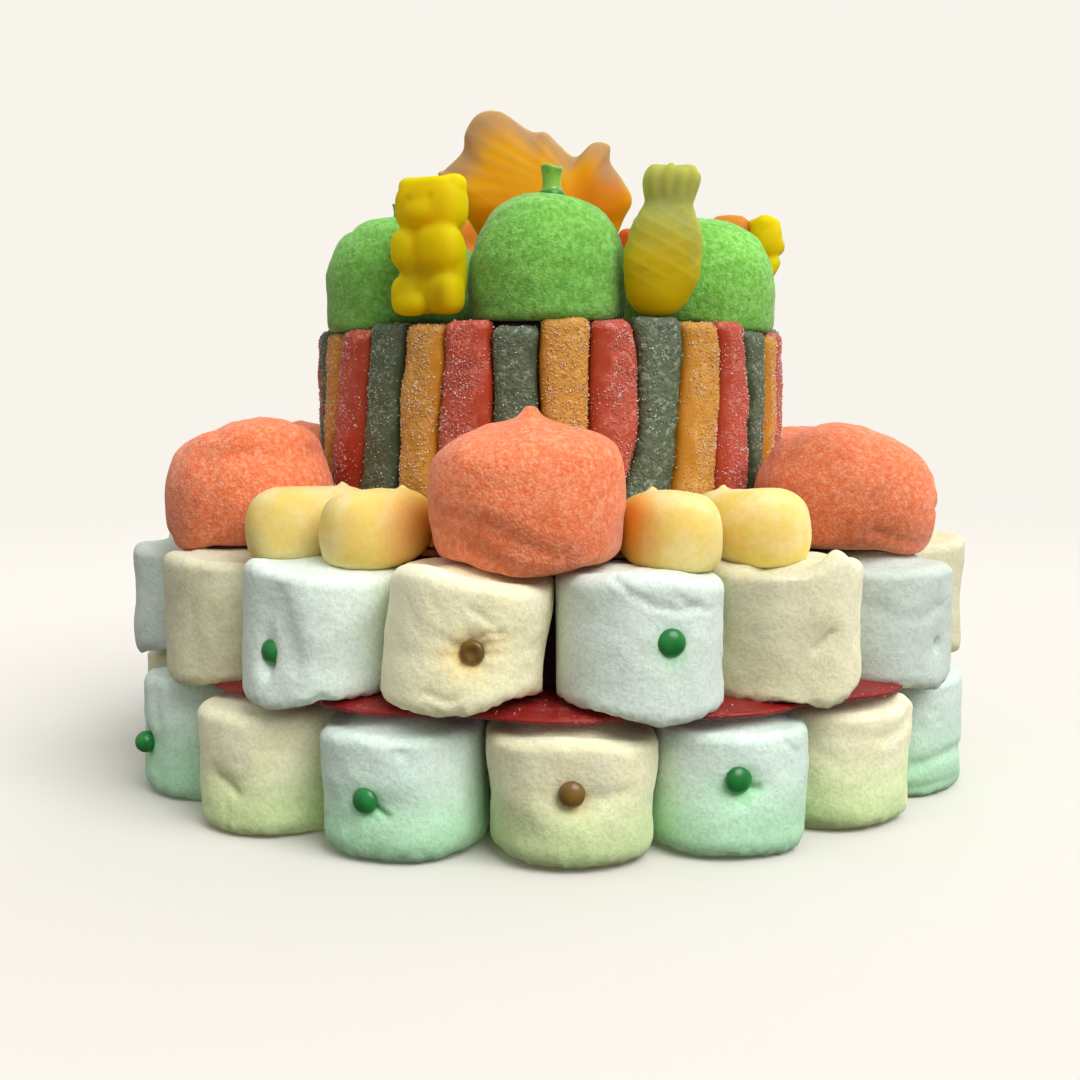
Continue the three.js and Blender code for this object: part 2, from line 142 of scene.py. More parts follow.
# Pick heads pushed into the marshmallows, [across, up, radius, proud], by ring and number.
PICK_BEADS = {
    "lower": {
        1: [0, 15.3], 2: [-5.9, 16.1, 2.7], 5: [2.4, 13.2], 7: [-3.5, 11.8], 9: [1.2, 15.1],
        10: [-1.8, 12.5], 12: [4.1, 13.8], 14: [1.7, 11.9, 2.4, 2.6], 16: [-0.7, 12.4, 2.5],
    },
    "upper": {
        1: [3.9, 11.2, 2.3, 0.2], 2: [1.7, 12.9, 2.7], 6: [-2.6, 12.8], 7: [3.3, 10.4], 9: [-1.4, 13.1],
        11: [2.2, 11.3], 12: [-3.8, 10.9], 16: [-0.9, 8.6, 2.5, -0.9],
    },
}
BEAD_RADIUS = 2.5
BEAD_PROUD = 1.0
BEAD_SEAT = 16.05  # radius of the marshmallow's side that the heads are set on
BEAD_ROUND_FROM = 2  # a head that stands out less than this is made flatter
BEAD_FLATNESS = 0.6


# Colours and shader building

def linear(hex_colour):
    """Linear red, green and blue of an sRGB hex colour."""
    channels = [int(hex_colour[at:at + 2], 16) / 255 for at in (1, 3, 5)]
    return tuple(c / 12.92 if c <= 0.04045 else ((c + 0.055) / 1.055) ** 2.4 for c in channels)


def opaque(colour):
    """A colour with full alpha, as shader sockets take it."""
    return (*colour, 1.0)


def paler(colour, share):
    """Colour that keeps only a share of its distance from white."""
    return tuple(1 - (1 - c) * share for c in colour)


def per_mm(millimetres):
    """Texture scale that makes a pattern repeat about once in that many millimetres."""
    return 1 / (millimetres * MM)


MIX_A, MIX_B, MIX_RESULT = 6, 7, 2  # the colour sockets of a Mix node


def add_node(tree, kind, options=None, values=None, links=None):
    """Adds a shader node with its options, its sockets' values and its incoming links."""
    node = tree.nodes.new("ShaderNode" + kind)
    for name, value in (options or {}).items():
        setattr(node, name, value)
    for socket, value in (values or {}).items():
        node.inputs[socket].default_value = value
    for socket, source in (links or {}).items():
        tree.links.new(source, node.inputs[socket])
    return node


def start_material(name, values):
    """New material: returns it, its node tree, its shader and the output of its coordinates."""
    material = bpy.data.materials.new(name)
    material.use_nodes = True
    tree = material.node_tree
    shader = tree.nodes["Principled BSDF"]
    for socket, value in values.items():
        shader.inputs[socket].default_value = value
    place = add_node(tree, "TexCoord").outputs["Object"]
    return material, tree, shader, place


def blend_colours(tree, share, first, second):
    """Colour output that goes from first to second with a share from 0 to 1."""
    values, links = {}, {0: share}
    for socket, colour in ((MIX_A, first), (MIX_B, second)):
        if isinstance(colour, bpy.types.NodeSocket):
            links[socket] = colour
        else:
            values[socket] = opaque(colour)
    return add_node(tree, "Mix", {"data_type": "RGBA"}, values, links).outputs[MIX_RESULT]


def span(tree, value, low, high, to_low=0.0, to_high=1.0):
    """Output that turns a value's range from low to high into another, smoothly and clamped."""
    limits = {"From Min": low, "From Max": high, "To Min": to_low, "To Max": to_high}
    options = {"interpolation_type": "SMOOTHSTEP"}
    return add_node(tree, "MapRange", options, limits, {"Value": value}).outputs["Result"]


def toned(tree, colour, share):
    """Colour output made darker by a share and by the mesh's values of painted light and shade and random
    tones.
    """
    tone = add_node(tree, "Attribute", {"attribute_name": "tone"}).outputs["Fac"]
    value = add_node(tree, "Math", {"operation": "MULTIPLY"}, links={0: tone, 1: share})
    links = {"Color": colour, "Value": value.outputs[0]}
    return add_node(tree, "HueSaturation", links=links).outputs["Color"]


# Materials

def marshmallow_material(name, colour, foot, stain):
    """Whipped marshmallow rolled in starch.

    Matte and chalky. Light sinks a little way in, and fine powder over shallow wrinkles
    keeps it from looking smooth. The mesh says where colour from the picks has bled in,
    where a foot colour of painted green bounce light rises from the underside, and where
    painted light and shade make a side lighter or darker; marshmallows not so painted
    differ at random in how pale they are.
    """
    material, tree, shader, place = start_material(name, {
        "Roughness": 0.9, "Specular IOR Level": 0.2, "IOR": 1.4,
        "Subsurface Weight": 0.3, "Subsurface Radius": (1.0, 0.95, 0.8),
        "Subsurface Scale": 2 * MM, "Sheen Weight": 0.1, "Sheen Roughness": 0.6,
    })
    patches = add_node(tree, "TexNoise", values={"Scale": per_mm(7), "Detail": 3}, links={"Vector": place})
    powder = add_node(tree, "TexNoise", values={"Scale": per_mm(0.85), "Detail": 4, "Roughness": 0.7},
                      links={"Vector": place})
    wrinkles = add_node(tree, "TexNoise", values={"Scale": per_mm(3.4), "Detail": 4, "Distortion": 0.8},
                        links={"Vector": place})
    low, bled = (add_node(tree, "Attribute", {"attribute_name": name}).outputs["Fac"]
                 for name in ("foot", "stain"))
    pale = paler(colour, 0.85)
    body = blend_colours(tree, span(tree, patches.outputs["Fac"], 0.35, 0.7), colour, pale)
    # Painted green bounce light: the foot colour rises from the underside.
    body = blend_colours(tree, low, body, foot)
    body = blend_colours(tree, bled, body, stain)
    dust = span(tree, powder.outputs["Fac"], 0.36, 0.6, 0.89, 1.02)
    # The mesh's tone values add painted light and shade to the powder's paleness.
    tree.links.new(toned(tree, body, dust), shader.inputs["Base Color"])
    relief = add_node(tree, "Bump", values={"Strength": 0.45, "Distance": 0.4 * MM},
                      links={"Height": wrinkles.outputs["Fac"]})
    grain = add_node(tree, "Bump", values={"Strength": 0.5, "Distance": 0.4 * MM},
                     links={"Height": powder.outputs["Fac"], "Normal": relief.outputs["Normal"]})
    tree.links.new(grain.outputs["Normal"], shader.inputs["Normal"])
    return material


def sugar_coat_material(name, colour, shade, glint):
    """Marshmallow ball rolled in fine coloured sugar.

    Close-set grains clump into darker and paler flecks about a millimetre across, over a
    soft body. Painted shade from the mesh darkens it towards its underside, and painted light
    makes a side lighter or darker.
    """
    material, tree, shader, place = start_material(name, {
        "Roughness": 0.8, "Specular IOR Level": 0.25, "IOR": 1.5,
        "Sheen Weight": 0.2, "Sheen Roughness": 0.5,
    })
    grains = add_node(tree, "TexVoronoi", {"feature": "F1"}, {"Scale": per_mm(0.55)}, {"Vector": place})
    clumps = add_node(tree, "TexNoise", values={"Scale": per_mm(1.25), "Detail": 4, "Roughness": 0.7},
                      links={"Vector": place})
    patches = add_node(tree, "TexNoise", values={"Scale": per_mm(7), "Detail": 4}, links={"Vector": place})
    each = add_node(tree, "SeparateColor", links={"Color": grains.outputs["Color"]})
    body = blend_colours(tree, span(tree, patches.outputs["Fac"], 0.4, 0.65, 0.0, 0.35), colour, shade)
    body = blend_colours(tree, span(tree, clumps.outputs["Fac"], 0.6, 0.34, 0.0, 0.75), body, shade)
    body = blend_colours(tree, span(tree, clumps.outputs["Fac"], 0.5, 0.76, 0.0, 0.55), body, glint)
    body = blend_colours(tree, span(tree, each.outputs["Red"], 0.75, 1.0, 0.0, 0.35), body, glint)
    grit_shade = span(tree, grains.outputs["Distance"], 0.3, 0.75, 1.0, 0.9)
    tree.links.new(toned(tree, body, grit_shade), shader.inputs["Base Color"])
    relief = add_node(tree, "Bump", values={"Strength": 0.55, "Distance": 0.45 * MM},
                      links={"Height": clumps.outputs["Fac"]})
    grit = add_node(tree, "Bump", {"invert": True}, {"Strength": 0.55, "Distance": 0.2 * MM},
                    {"Height": grains.outputs["Distance"], "Normal": relief.outputs["Normal"]})
    tree.links.new(grit.outputs["Normal"], shader.inputs["Normal"])
    return material


def foam_material(name, colour, blush):
    """Foam candy, poured into starch moulds.

    Smooth, soft and matt, evenly coloured, with a blush where the mesh says.
    """
    material, tree, shader, place = start_material(name, {
        "Roughness": 0.7, "Specular IOR Level": 0.2, "IOR": 1.45,
        "Subsurface Weight": 0.8, "Subsurface Radius": (1.0, 0.75, 0.4),
        "Subsurface Scale": 5 * MM,
    })
    clouds = add_node(tree, "TexNoise", values={"Scale": per_mm(6), "Detail": 2}, links={"Vector": place})
    skin = add_node(tree, "TexNoise", values={"Scale": per_mm(1.1), "Detail": 3}, links={"Vector": place})
    blushed = add_node(tree, "Attribute", {"attribute_name": "blush"}).outputs["Fac"]
    pale = paler(colour, 0.82)
    body = blend_colours(tree, span(tree, clouds.outputs["Fac"], 0.35, 0.7), colour, pale)
    body = blend_colours(tree, blushed, body, blush)
    dust = span(tree, skin.outputs["Fac"], 0.35, 0.65, 0.97, 1.03)
    tree.links.new(toned(tree, body, dust), shader.inputs["Base Color"])
    relief = add_node(tree, "Bump", values={"Strength": 0.35, "Distance": 0.1 * MM},
                      links={"Height": skin.outputs["Fac"]})
    tree.links.new(relief.outputs["Normal"], shader.inputs["Normal"])
    return material


def sugared_jelly_material(name, bare, sugared, glint, grain=0.5, bare_level=0.42):
    """Fruit jelly cast and tumbled in sugar.

    Saturated jelly shows where the sugar has come off. Elsewhere grains make it paler and
    rough, and single ones glint. Real grains are half a millimetre across; on the strips
    they are drawn coarser, so that they show in the render.
    """
    material, tree, shader, place = start_material(name, {"Specular IOR Level": 0.45, "IOR": 1.45})
    grains = add_node(tree, "TexVoronoi", {"feature": "F1"}, {"Scale": per_mm(grain)}, {"Vector": place})
    cover = add_node(tree, "TexNoise", values={"Scale": per_mm(4.5), "Detail": 4, "Roughness": 0.6},
                     links={"Vector": place})
    edge = add_node(tree, "Attribute", {"attribute_name": "sugar"}).outputs["Fac"]
    near = add_node(tree, "Math", {"operation": "MULTIPLY"}, links={0: edge, 1: cover.outputs["Fac"]})
    coated = span(tree, near.outputs[0], bare_level - 0.16, bare_level + 0.14)
    each = add_node(tree, "SeparateColor", links={"Color": grains.outputs["Color"]})
    body = blend_colours(tree, coated, bare, sugared)
    dark = add_node(tree, "Math", {"operation": "MULTIPLY"},
                    links={0: coated, 1: span(tree, each.outputs["Green"], 0.5, 1.0, 0.0, 0.4)})
    body = blend_colours(tree, dark.outputs[0], body, bare)
    lit = add_node(tree, "Math", {"operation": "MULTIPLY"},
                   links={0: coated, 1: span(tree, each.outputs["Red"], 0.74, 1.0, 0.0, 0.6)})
    body = blend_colours(tree, lit.outputs[0], body, glint)
    tree.links.new(body, shader.inputs["Base Color"])
    tree.links.new(span(tree, coated, 0.0, 1.0, 0.38, 0.72), shader.inputs["Roughness"])
    height = add_node(tree, "Math", {"operation": "MULTIPLY"},
                      links={0: coated, 1: span(tree, grains.outputs["Distance"], 0.6, 0.0)})
    grit = add_node(tree, "Bump", values={"Strength": 0.7, "Distance": 0.25 * MM},
                    links={"Height": height.outputs[0]})
    tree.links.new(grit.outputs["Normal"], shader.inputs["Normal"])
    return material


def crystal_material(name, colour):
    """Single sugar crystals: broken glassy grains that take on the colour they lie on."""
    material, tree, shader, place = start_material(name, {
        "Roughness": 0.4, "Specular IOR Level": 0.5, "IOR": 1.54,
    })
    each = add_node(tree, "TexVoronoi", {"feature": "F1"}, {"Scale": per_mm(0.8)}, {"Vector": place})
    own = add_node(tree, "SeparateColor", links={"Color": each.outputs["Color"]})
    pale = paler(colour, 0.45)
    body = blend_colours(tree, span(tree, own.outputs["Red"], 0.3, 1.0), colour, pale)
    tree.links.new(body, shader.inputs["Base Color"])
    return material


def gummy_material(name, top, foot, glow, rim, ember):
    """Gelatine gummy, cast in starch.

    Clear and rubbery: light goes deep into it and its thin edges glow, while the starch
    has left its skin nearly matt. Its colour runs from its foot to its top; the mesh says
    where thin edges or lines are paler and where thick jelly is deeper.
    """
    material, tree, shader, place = start_material(name, {
        "Roughness": 0.6, "Specular IOR Level": 0.06, "IOR": 1.4,
        "Subsurface Weight": 1.0, "Subsurface Radius": glow, "Subsurface Scale": 11 * MM,
        "Transmission Weight": 0.2,
    })
    clouds = add_node(tree, "TexNoise", values={"Scale": per_mm(7), "Detail": 3}, links={"Vector": place})
    skin = add_node(tree, "TexNoise", values={"Scale": per_mm(1.6), "Detail": 3}, links={"Vector": place})
    rise, thin, deep = (add_node(tree, "Attribute", {"attribute_name": name}).outputs["Fac"]
                        for name in ("rise", "thin", "deep"))
    level = add_node(tree, "Math", {"operation": "ADD"},
                     links={0: rise, 1: span(tree, clouds.outputs["Fac"], 0.3, 0.7, -0.16, 0.16)})
    body = blend_colours(tree, span(tree, level.outputs[0], 0.0, 1.0), foot, top)
    body = blend_colours(tree, deep, body, ember)
    body = blend_colours(tree, thin, body, rim)
    tree.links.new(body, shader.inputs["Base Color"])
    relief = add_node(tree, "Bump", values={"Strength": 0.3, "Distance": 0.12 * MM},
                      links={"Height": skin.outputs["Fac"]})
    tree.links.new(relief.outputs["Normal"], shader.inputs["Normal"])
    return material


def pick_material(name, colour, edge):
    """Injection-moulded polystyrene of a party pick: clear tinted plastic with a soft gloss."""
    material, tree, shader, place = start_material(name, {
        "Roughness": 0.3, "Specular IOR Level": 0.4, "IOR": 1.59, "Transmission Weight": 0.1,
    })
    clouds = add_node(tree, "TexNoise", values={"Scale": per_mm(1.8), "Detail": 2}, links={"Vector": place})
    pale = add_node(tree, "Attribute", {"attribute_name": "pale"}).outputs["Fac"]
    share = add_node(tree, "Math", {"operation": "MULTIPLY"},
                     links={0: pale, 1: span(tree, clouds.outputs["Fac"], 0.2, 0.6, 0.5, 1.0)})
    body = blend_colours(tree, share.outputs[0], colour, edge)
    tree.links.new(body, shader.inputs["Base Color"])
    return material


def paper_material(name, colour, lit):
    """Matt studio paper, seamless: the lit sheet under the cake fades into the even backdrop."""
    material, tree, shader, place = start_material(name, {
        "Roughness": 0.95, "Specular IOR Level": 0.0, "Base Color": opaque((0, 0, 0)),
        "Emission Color": opaque(colour), "Emission Strength": 1.0,
    })
    if lit:
        gap = add_node(tree, "VectorMath", {"operation": "LENGTH"}, links={0: place}).outputs["Value"]
        near = span(tree, gap, 0.9, 0.25)
        paper = tuple(c * PAPER_LEVEL for c in colour)
        tree.links.new(blend_colours(tree, near, (0, 0, 0), paper), shader.inputs["Base Color"])
        tree.links.new(blend_colours(tree, near, colour, (0, 0, 0)), shader.inputs["Emission Color"])
    return material


# Shape building

def around_cake(points, radius, angle, height):
    """Points of a piece in its own frame, with its front to -Y, moved to its place on the cake."""
    turn = math.radians(angle)
    x, y, z = points[..., 0], points[..., 1] - radius, points[..., 2] + height
    return np.stack([x * math.cos(turn) - y * math.sin(turn),
                     x * math.sin(turn) + y * math.cos(turn), z], axis=-1)


def bumps(points, size, seed, waves=28):
    """Smooth random relief, mostly from -1 to 1, in bumps of about that size."""
    random = np.random.default_rng(seed)
    directions = random.normal(size=(3, waves))
    directions /= np.linalg.norm(directions, axis=0)
    turns = math.pi / size * random.uniform(0.6, 1.4, waves)
    phases = random.uniform(0, 2 * math.pi, waves)
    return np.sin(points @ (directions * turns) + phases).sum(axis=-1) * 0.5 / math.sqrt(waves / 2)


def layered(points, seed, *layers):
    """Relief from layers of bumps, each (height, size), with a seed of its own in turn."""
    return sum(height * bumps(points, size, seed + number) for number, (height, size) in enumerate(layers))


def smooth_path(knots, count, closed=False):
    """Evenly spread points along a smooth curve through the knots."""
    knots = np.asarray(knots, float)
    if closed:
        padded = np.vstack([knots[-1], knots, knots[0], knots[1]])
    else:
        padded = np.vstack([2 * knots[0] - knots[1], knots, 2 * knots[-1] - knots[-2]])
    spans = len(padded) - 3
    steps = np.linspace(0, spans, spans * 24 + 1)
    first = np.minimum(steps.astype(int), spans - 1)
    share = (steps - first)[:, None]
    a, b, c, d = (padded[first + offset] for offset in range(4))
    curve = 0.5 * (2 * b + (c - a) * share + (2 * a - 5 * b + 4 * c - d) * share ** 2
                   + (3 * b - a - 3 * c + d) * share ** 3)
    lengths = np.concatenate([[0], np.cumsum(np.linalg.norm(np.diff(curve, axis=0), axis=1))])
    even = np.linspace(0, lengths[-1], count, endpoint=not closed)
    return np.stack([np.interp(even, lengths, curve[:, axis]) for axis in range(curve.shape[1])], axis=1)


def smoothstep(values, low, high):
    """0 below low, 1 above high and a smooth rise between."""
    share = np.clip((values - low) / (high - low), 0, 1)
    return share * share * (3 - 2 * share)


def revolve(profile, sides, depth=1.0):
    """Rings of points round the Z axis for a profile of [reach, height]; depth squeezes them."""
    turns = np.linspace(0, 2 * math.pi, sides, endpoint=False)
    reach, height = np.asarray(profile, float).T
    return np.stack([reach[:, None] * np.cos(turns), depth * reach[:, None] * np.sin(turns),
                     np.repeat(height[:, None], sides, axis=1)], axis=-1)


def outward(rings):
    """Unit normals of a skin of rings that run anticlockwise, from bottom to top."""
    normals = np.cross(np.roll(rings, -1, axis=1) - np.roll(rings, 1, axis=1), np.gradient(rings, axis=0))
    return normals / np.maximum(np.linalg.norm(normals, axis=-1, keepdims=True), 1e-9)


def swollen(rings, relief):
    """Rings with a relief raised on their skin."""
    return rings + relief[..., None] * outward(rings)


@functools.lru_cache(maxsize=None)
def skin_faces(rings, sides):
    """Faces of a closed skin over rings of points, with one end point before and one after."""
    def at(ring, side):
        return 1 + ring * sides + side % sides
    top = 1 + rings * sides
    faces = [(0, at(0, side + 1), at(0, side)) for side in range(sides)]
    faces += [(at(ring, side), at(ring, side + 1), at(ring + 1, side + 1), at(ring + 1, side))
              for ring in range(rings - 1) for side in range(sides)]
    faces += [(at(rings - 1, side), at(rings - 1, side + 1), top) for side in range(sides)]
    return faces


def closed_skin(rings):
    """Points and faces of a closed skin over rings of points."""
    ends = rings[[0, -1]].mean(axis=1)
    points = np.vstack([ends[:1], rings.reshape(-1, 3), ends[1:]])
    return points, skin_faces(*rings.shape[:2])


def skin_values(values):
    """Values of a skin's rings, with those of its two end points."""
    return np.concatenate([[values[0].mean()], values.ravel(), [values[-1].mean()]])


def merged(parts):
    """Points and faces of several meshes as one."""
    points, faces, start = [], [], 0
    for part_points, part_faces in parts:
        points.append(part_points)
        faces += [tuple(start + corner for corner in face) for face in part_faces]
        start += len(part_points)
    return np.vstack(points), faces


def add_piece(name, points, faces, material, nodes, slot, attributes=None):
    """Adds a mesh, given in millimetres, that rides on the cake in place of some solids."""
    mesh = bpy.data.meshes.new(name)
    mesh.from_pydata((points * MM).tolist(), [], faces)
    mesh.shade_smooth()
    for label, values in (attributes or {}).items():
        attribute = mesh.attributes.new(label, "FLOAT", "POINT")
        attribute.data.foreach_set("value", np.asarray(values, np.float32))
    mesh.materials.append(material)
    piece = bpy.data.objects.new(name, mesh)
    bpy.context.scene.collection.objects.link(piece)
    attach(piece, ROOT)
    if nodes:
        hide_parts(*nodes)
    return piece


def spot(across, up, x, z, width, height):
    """Soft spot: 1 at x across and z up, and 0 well away from there."""
    return np.exp(-(((across - x) / width) ** 2 + ((up - z) / height) ** 2))


def hollow(across, up, x, z, width, height, depth):
    """Shallow round hollow at x across and z up."""
    return -depth * spot(across, up, x, z, width, height)


def crease(across, up, path, width, depth):
    """Groove along a path of [across, up] points."""
    nearest = np.full(across.shape, np.inf)
    path = np.asarray(path, float)
    for start, end in zip(path[:-1], path[1:]):
        run = end - start
        share = ((across - start[0]) * run[0] + (up - start[1]) * run[1]) / (run @ run)
        share = np.clip(share, 0, 1)
        gap = np.hypot(across - start[0] - share * run[0], up - start[1] - share * run[1])
        nearest = np.minimum(nearest, gap)
    return -depth * np.exp(-(nearest / width) ** 2)


def pucker(across, up, x, z, reach, depth, folds):
    """Small folds that run out from a point, as round something pushed in."""
    angle = np.arctan2(up - z, across - x)
    share = np.hypot(across - x, up - z) / reach
    return depth * np.sin(folds * angle + 1.7 * np.sin(2 * angle)) * share * np.exp(1 - share) ** 1.5


# Relief of single marshmallows, by ring and number: hollows, creases and puckers on their
# fronts, as [across, up] in millimetres from the middle of the foot.
MARSHMALLOW_RELIEF = {
    ("lower", 1): [
        (hollow, (1, 15.4, 5.6, 5, 1.3)),
        (crease, ([(2, 15.5), (5.5, 16.8), (9, 17.4)], 1.6, 0.3)),
        (hollow, (-9, 6, 8, 5, 0.7)),
    ],
    ("lower", 2): [
        (crease, ([(-5, 16), (-2.4, 15.6)], 0.8, 1.2)),
        (crease, ([(2.6, 26.4), (4.2, 24.4), (7, 22.4)], 0.6, 0.35)),
        (hollow, (-4.6, 16.6, 5, 4.4, 0.8)),
    ],
    ("lower", 3): [
        (hollow, (-4, 14, 12, 8, 0.6)),
        (crease, ([(-12, 22.5), (-4, 21.4), (3, 23)], 1.6, 0.3)),
    ],
    ("lower", 4): [
        (crease, ([(-15, 7.6), (-11, 9.2), (-4, 9.6), (3, 8)], 1.5, 0.6)),
        (crease, ([(-15, 2.4), (-9, 3.1), (-2, 2.6)], 1.1, 0.4)),
        (hollow, (-12, 20, 1, 1, 0.5)),
        (hollow, (-11, 17.6, 0.8, 0.8, 0.4)),
    ],
    ("lower", 14): [
        (crease, ([(6, 25), (8, 15), (7, 4)], 2.2, 0.5)),
        (hollow, (3.1, 12.1, 4, 4, 0.6)),
    ],
    ("lower", 15): [
        (crease, ([(0, 12.4), (2.6, 11.2), (5.1, 9.6)], 0.9, 1.3)),
        (hollow, (2.6, 11, 4.4, 3.4, 1.0)),
        (crease, ([(3, 6.6), (2.8, 1.6)], 0.9, 0.2)),
    ],
    ("lower", 16): [
        (crease, ([(0.5, 12), (2.4, 11), (3.8, 9.8)], 0.5, 1.0)),
        (hollow, (1, 12, 4.4, 3.8, 0.8)),
        (hollow, (6.6, 24.4, 1.2, 1, 0.6)),
        (hollow, (-10, 13, 7, 9, 0.5)),
    ],
    ("upper", 1): [
        (hollow, (3.9, 11.2, 5.6, 5.2, 0.8)),
        (hollow, (3.9, 11.2, 2.7, 2.7, 1.7)),
        (pucker, (3.9, 11.2, 3, 0.2, 7)),
        (crease, ([(3.6, 20), (5.6, 19.2), (8.6, 17.2), (9.8, 15.4)], 0.6, 0.45)),
        (crease, ([(5.4, 14), (7, 15.6), (9.2, 15.4)], 0.5, 0.5)),
        (crease, ([(-4, 4.6), (-1, 3.4), (1, 3.4)], 0.6, 0.5)),
        (crease, ([(-14, 10), (-8, 10.6), (-3, 11)], 1.8, 0.2)),
    ],
    ("upper", 2): [
        (crease, ([(-8.4, 24.3), (-5.9, 22), (-2.5, 20.3), (3.2, 19.3), (7.4, 20.3), (10, 19.6)], 0.5, 0.6)),
        (crease, ([(2.8, 21.8), (5, 20.6), (7.6, 20.4)], 0.4, 0.5)),
        (hollow, (-2, 22.6, 7, 1.8, -0.3)),
    ],
    ("upper", 3): [
        (crease, ([(-1.8, 13), (-3.2, 11.6), (-4.8, 10.4)], 0.6, 0.9)),
        (hollow, (-3.2, 11.6, 3.4, 3, 0.5)),
        (crease, ([(-8, 25), (-9, 18), (-7.5, 10), (-8, 3)], 4.6, 1.5)),
        (hollow, (0, 13, 3.4, 12, -0.9)),
    ],
    ("upper", 4): [
        (hollow, (-3.1, 8.6, 0.8, 1.1, 1.6)),
        (hollow, (-3.1, 8.6, 2.6, 2.6, 0.4)),
        (crease, ([(-15.2, 17.3), (-13, 15.4), (-8, 15.2), (-3.2, 17)], 1.6, 0.35)),
    ],
    ("upper", 15): [
        (hollow, (4, 15, 7, 7, 0.7)),
        (crease, ([(9, 24), (7.6, 14), (9, 4)], 2, 0.35)),
    ],
    ("upper", 16): [
        (hollow, (-0.9, 8.6, 1.2, 2.3, 2.8)),
        (crease, ([(2.4, 21), (3.6, 17), (5, 12.6), (6.4, 8.6)], 2.6, 0.9)),
        (crease, ([(-0.9, 13), (-0.2, 18)], 2, 0.4)),
        (hollow, (0, 12, 7, 8, 0.8)),
        (hollow, (9, 12, 4.6, 12, -0.5)),
        (crease, ([(8, -1), (11, 1)], 0.8, 0.6)),
    ],
}
# Where corners of a marshmallow's front stand, against an upright one: each is
# (across, up), for the left and right of its top and then of its foot.
MARSHMALLOW_CORNERS = {
    ("upper", 14): ((-0.4, -2.4), (0, -2.4), (0.6, 0), (0, 0)),
    ("upper", 15): ((3.2, -0.9), (0.8, -1.6), (2.8, -0.6), (0.8, -1.8)),
    ("upper", 16): ((2.4, 0), (1.5, -1.9), (1.5, -1.3), (-1.2, -0.1)),
    ("upper", 1): ((1.7, 0.2), (0, -2.6), (-1.0, -0.2), (-2.4, 1.8)),
    ("upper", 2): ((0, -0.9), (-0.4, -1.9), (0.2, 0), (-0.4, -1)),
    ("upper", 3): ((0, -1.2), (-2.6, 0.2), (0, -1.6), (-3, 1.4)),
    ("upper", 4): ((0, -3.4), (0, -3.7), (0, -2.2), (0, -1)),
    ("upper", 5): ((0, -1), (-2.6, 0), (0, 0), (0.8, -1)),
    ("lower", 13): ((0, -1), (0, 0), (0, 0), (0, 0)),
    ("lower", 15): ((0.9, -2.2), (0, -2.4), (0.5, 0), (-0.6, 0.3)),
    ("lower", 16): ((0, -3.3), (-0.4, -3), (0.9, 0.8), (0, 0.6)),
    ("lower", 1): ((0.4, -3), (1.5, -4), (1.7, 1.2), (0.2, 0.5)),
    ("lower", 2): ((1.5, -2.8), (-1.1, -2.4), (0.3, 0.4), (-1.7, 0.5)),
    ("lower", 3): ((-1, -2.8), (-2.6, -2), (-1.6, 0.3), (-3, 0.3)),
    ("lower", 4): ((-2, -0.8), (0, -1), (-2.4, 0), (0.2, 0)),
}
# How far the front of a marshmallow stands back from the ring.
SET_BACK = {("upper", 15): 2.2, ("upper", 3): 0.9, ("upper", 5): 0.8, ("lower", 3): 1.5}
# Painted light and shade of single marshmallows: how much lighter or darker each is drawn at its left and
# right.
MARSHMALLOW_PAINTED_LIGHT = {
    ("upper", 14): (0.88, 0.88), ("upper", 15): (0.76, 0.8), ("upper", 16): (1.0, 1.08),
    ("upper", 1): (1.2, 1.03), ("upper", 2): (1.04, 0.97), ("upper", 3): (0.78, 1.04),
    ("upper", 4): (0.84, 0.86), ("upper", 5): (0.82, 0.82),
    ("lower", 14): (1.05, 1.05), ("lower", 15): (1.03, 1.06), ("lower", 16): (1.06, 1.06),
    ("lower", 1): (0.95, 0.97), ("lower", 2): (1.2, 0.98),
    ("lower", 3): (0.98, 1.14), ("lower", 4): (1.0, 1.02),
}
# Parts of a marshmallow's brim that stand up: [across, width, rise].
RAISED_BRIMS = {
    ("lower", 1): [(1, 8, 1.5)],
    ("lower", 3): [(4, 2.6, 1.6)],
    ("lower", 16): [(-2, 8, 0.5)],
    ("upper", 1): [(-5, 7, 1.1)],
    ("upper", 3): [(1, 3.4, 2.2)],
    ("upper", 2): [(-3, 8, 0.9)],
    ("upper", 16): [(-5, 5, 0.6)],
}
# Colour that has bled from a pick: [across, up, width, height, strength].
STAINS = {
    ("upper", 1): [(3.9, 11.2, 3.6, 3.4, 1), (3.9, 11.2, 5.6, 5, 0.55), (7.4, 14.6, 3, 2.6, 0.5),
                   (-0.5, 11.2, 3, 1.2, 0.35), (1, 7.4, 2.4, 1.6, 0.35)],
    ("upper", 2): [(1.8, 12.8, 3.2, 3.2, 0.6)],
    ("lower", 1): [(0.1, 15.1, 3.6, 3.6, 0.3)],
    ("lower", 2): [(-6, 16, 4, 4, 0.8), (-2.9, 15.7, 2, 1.6, 0.8)],
    ("lower", 16): [(-0.5, 12.3, 3.8, 3.8, 0.7), (3, 10.6, 1.6, 1.2, 0.7)],
    ("lower", 14): [(3.1, 12.1, 4, 4, 0.8)],
}


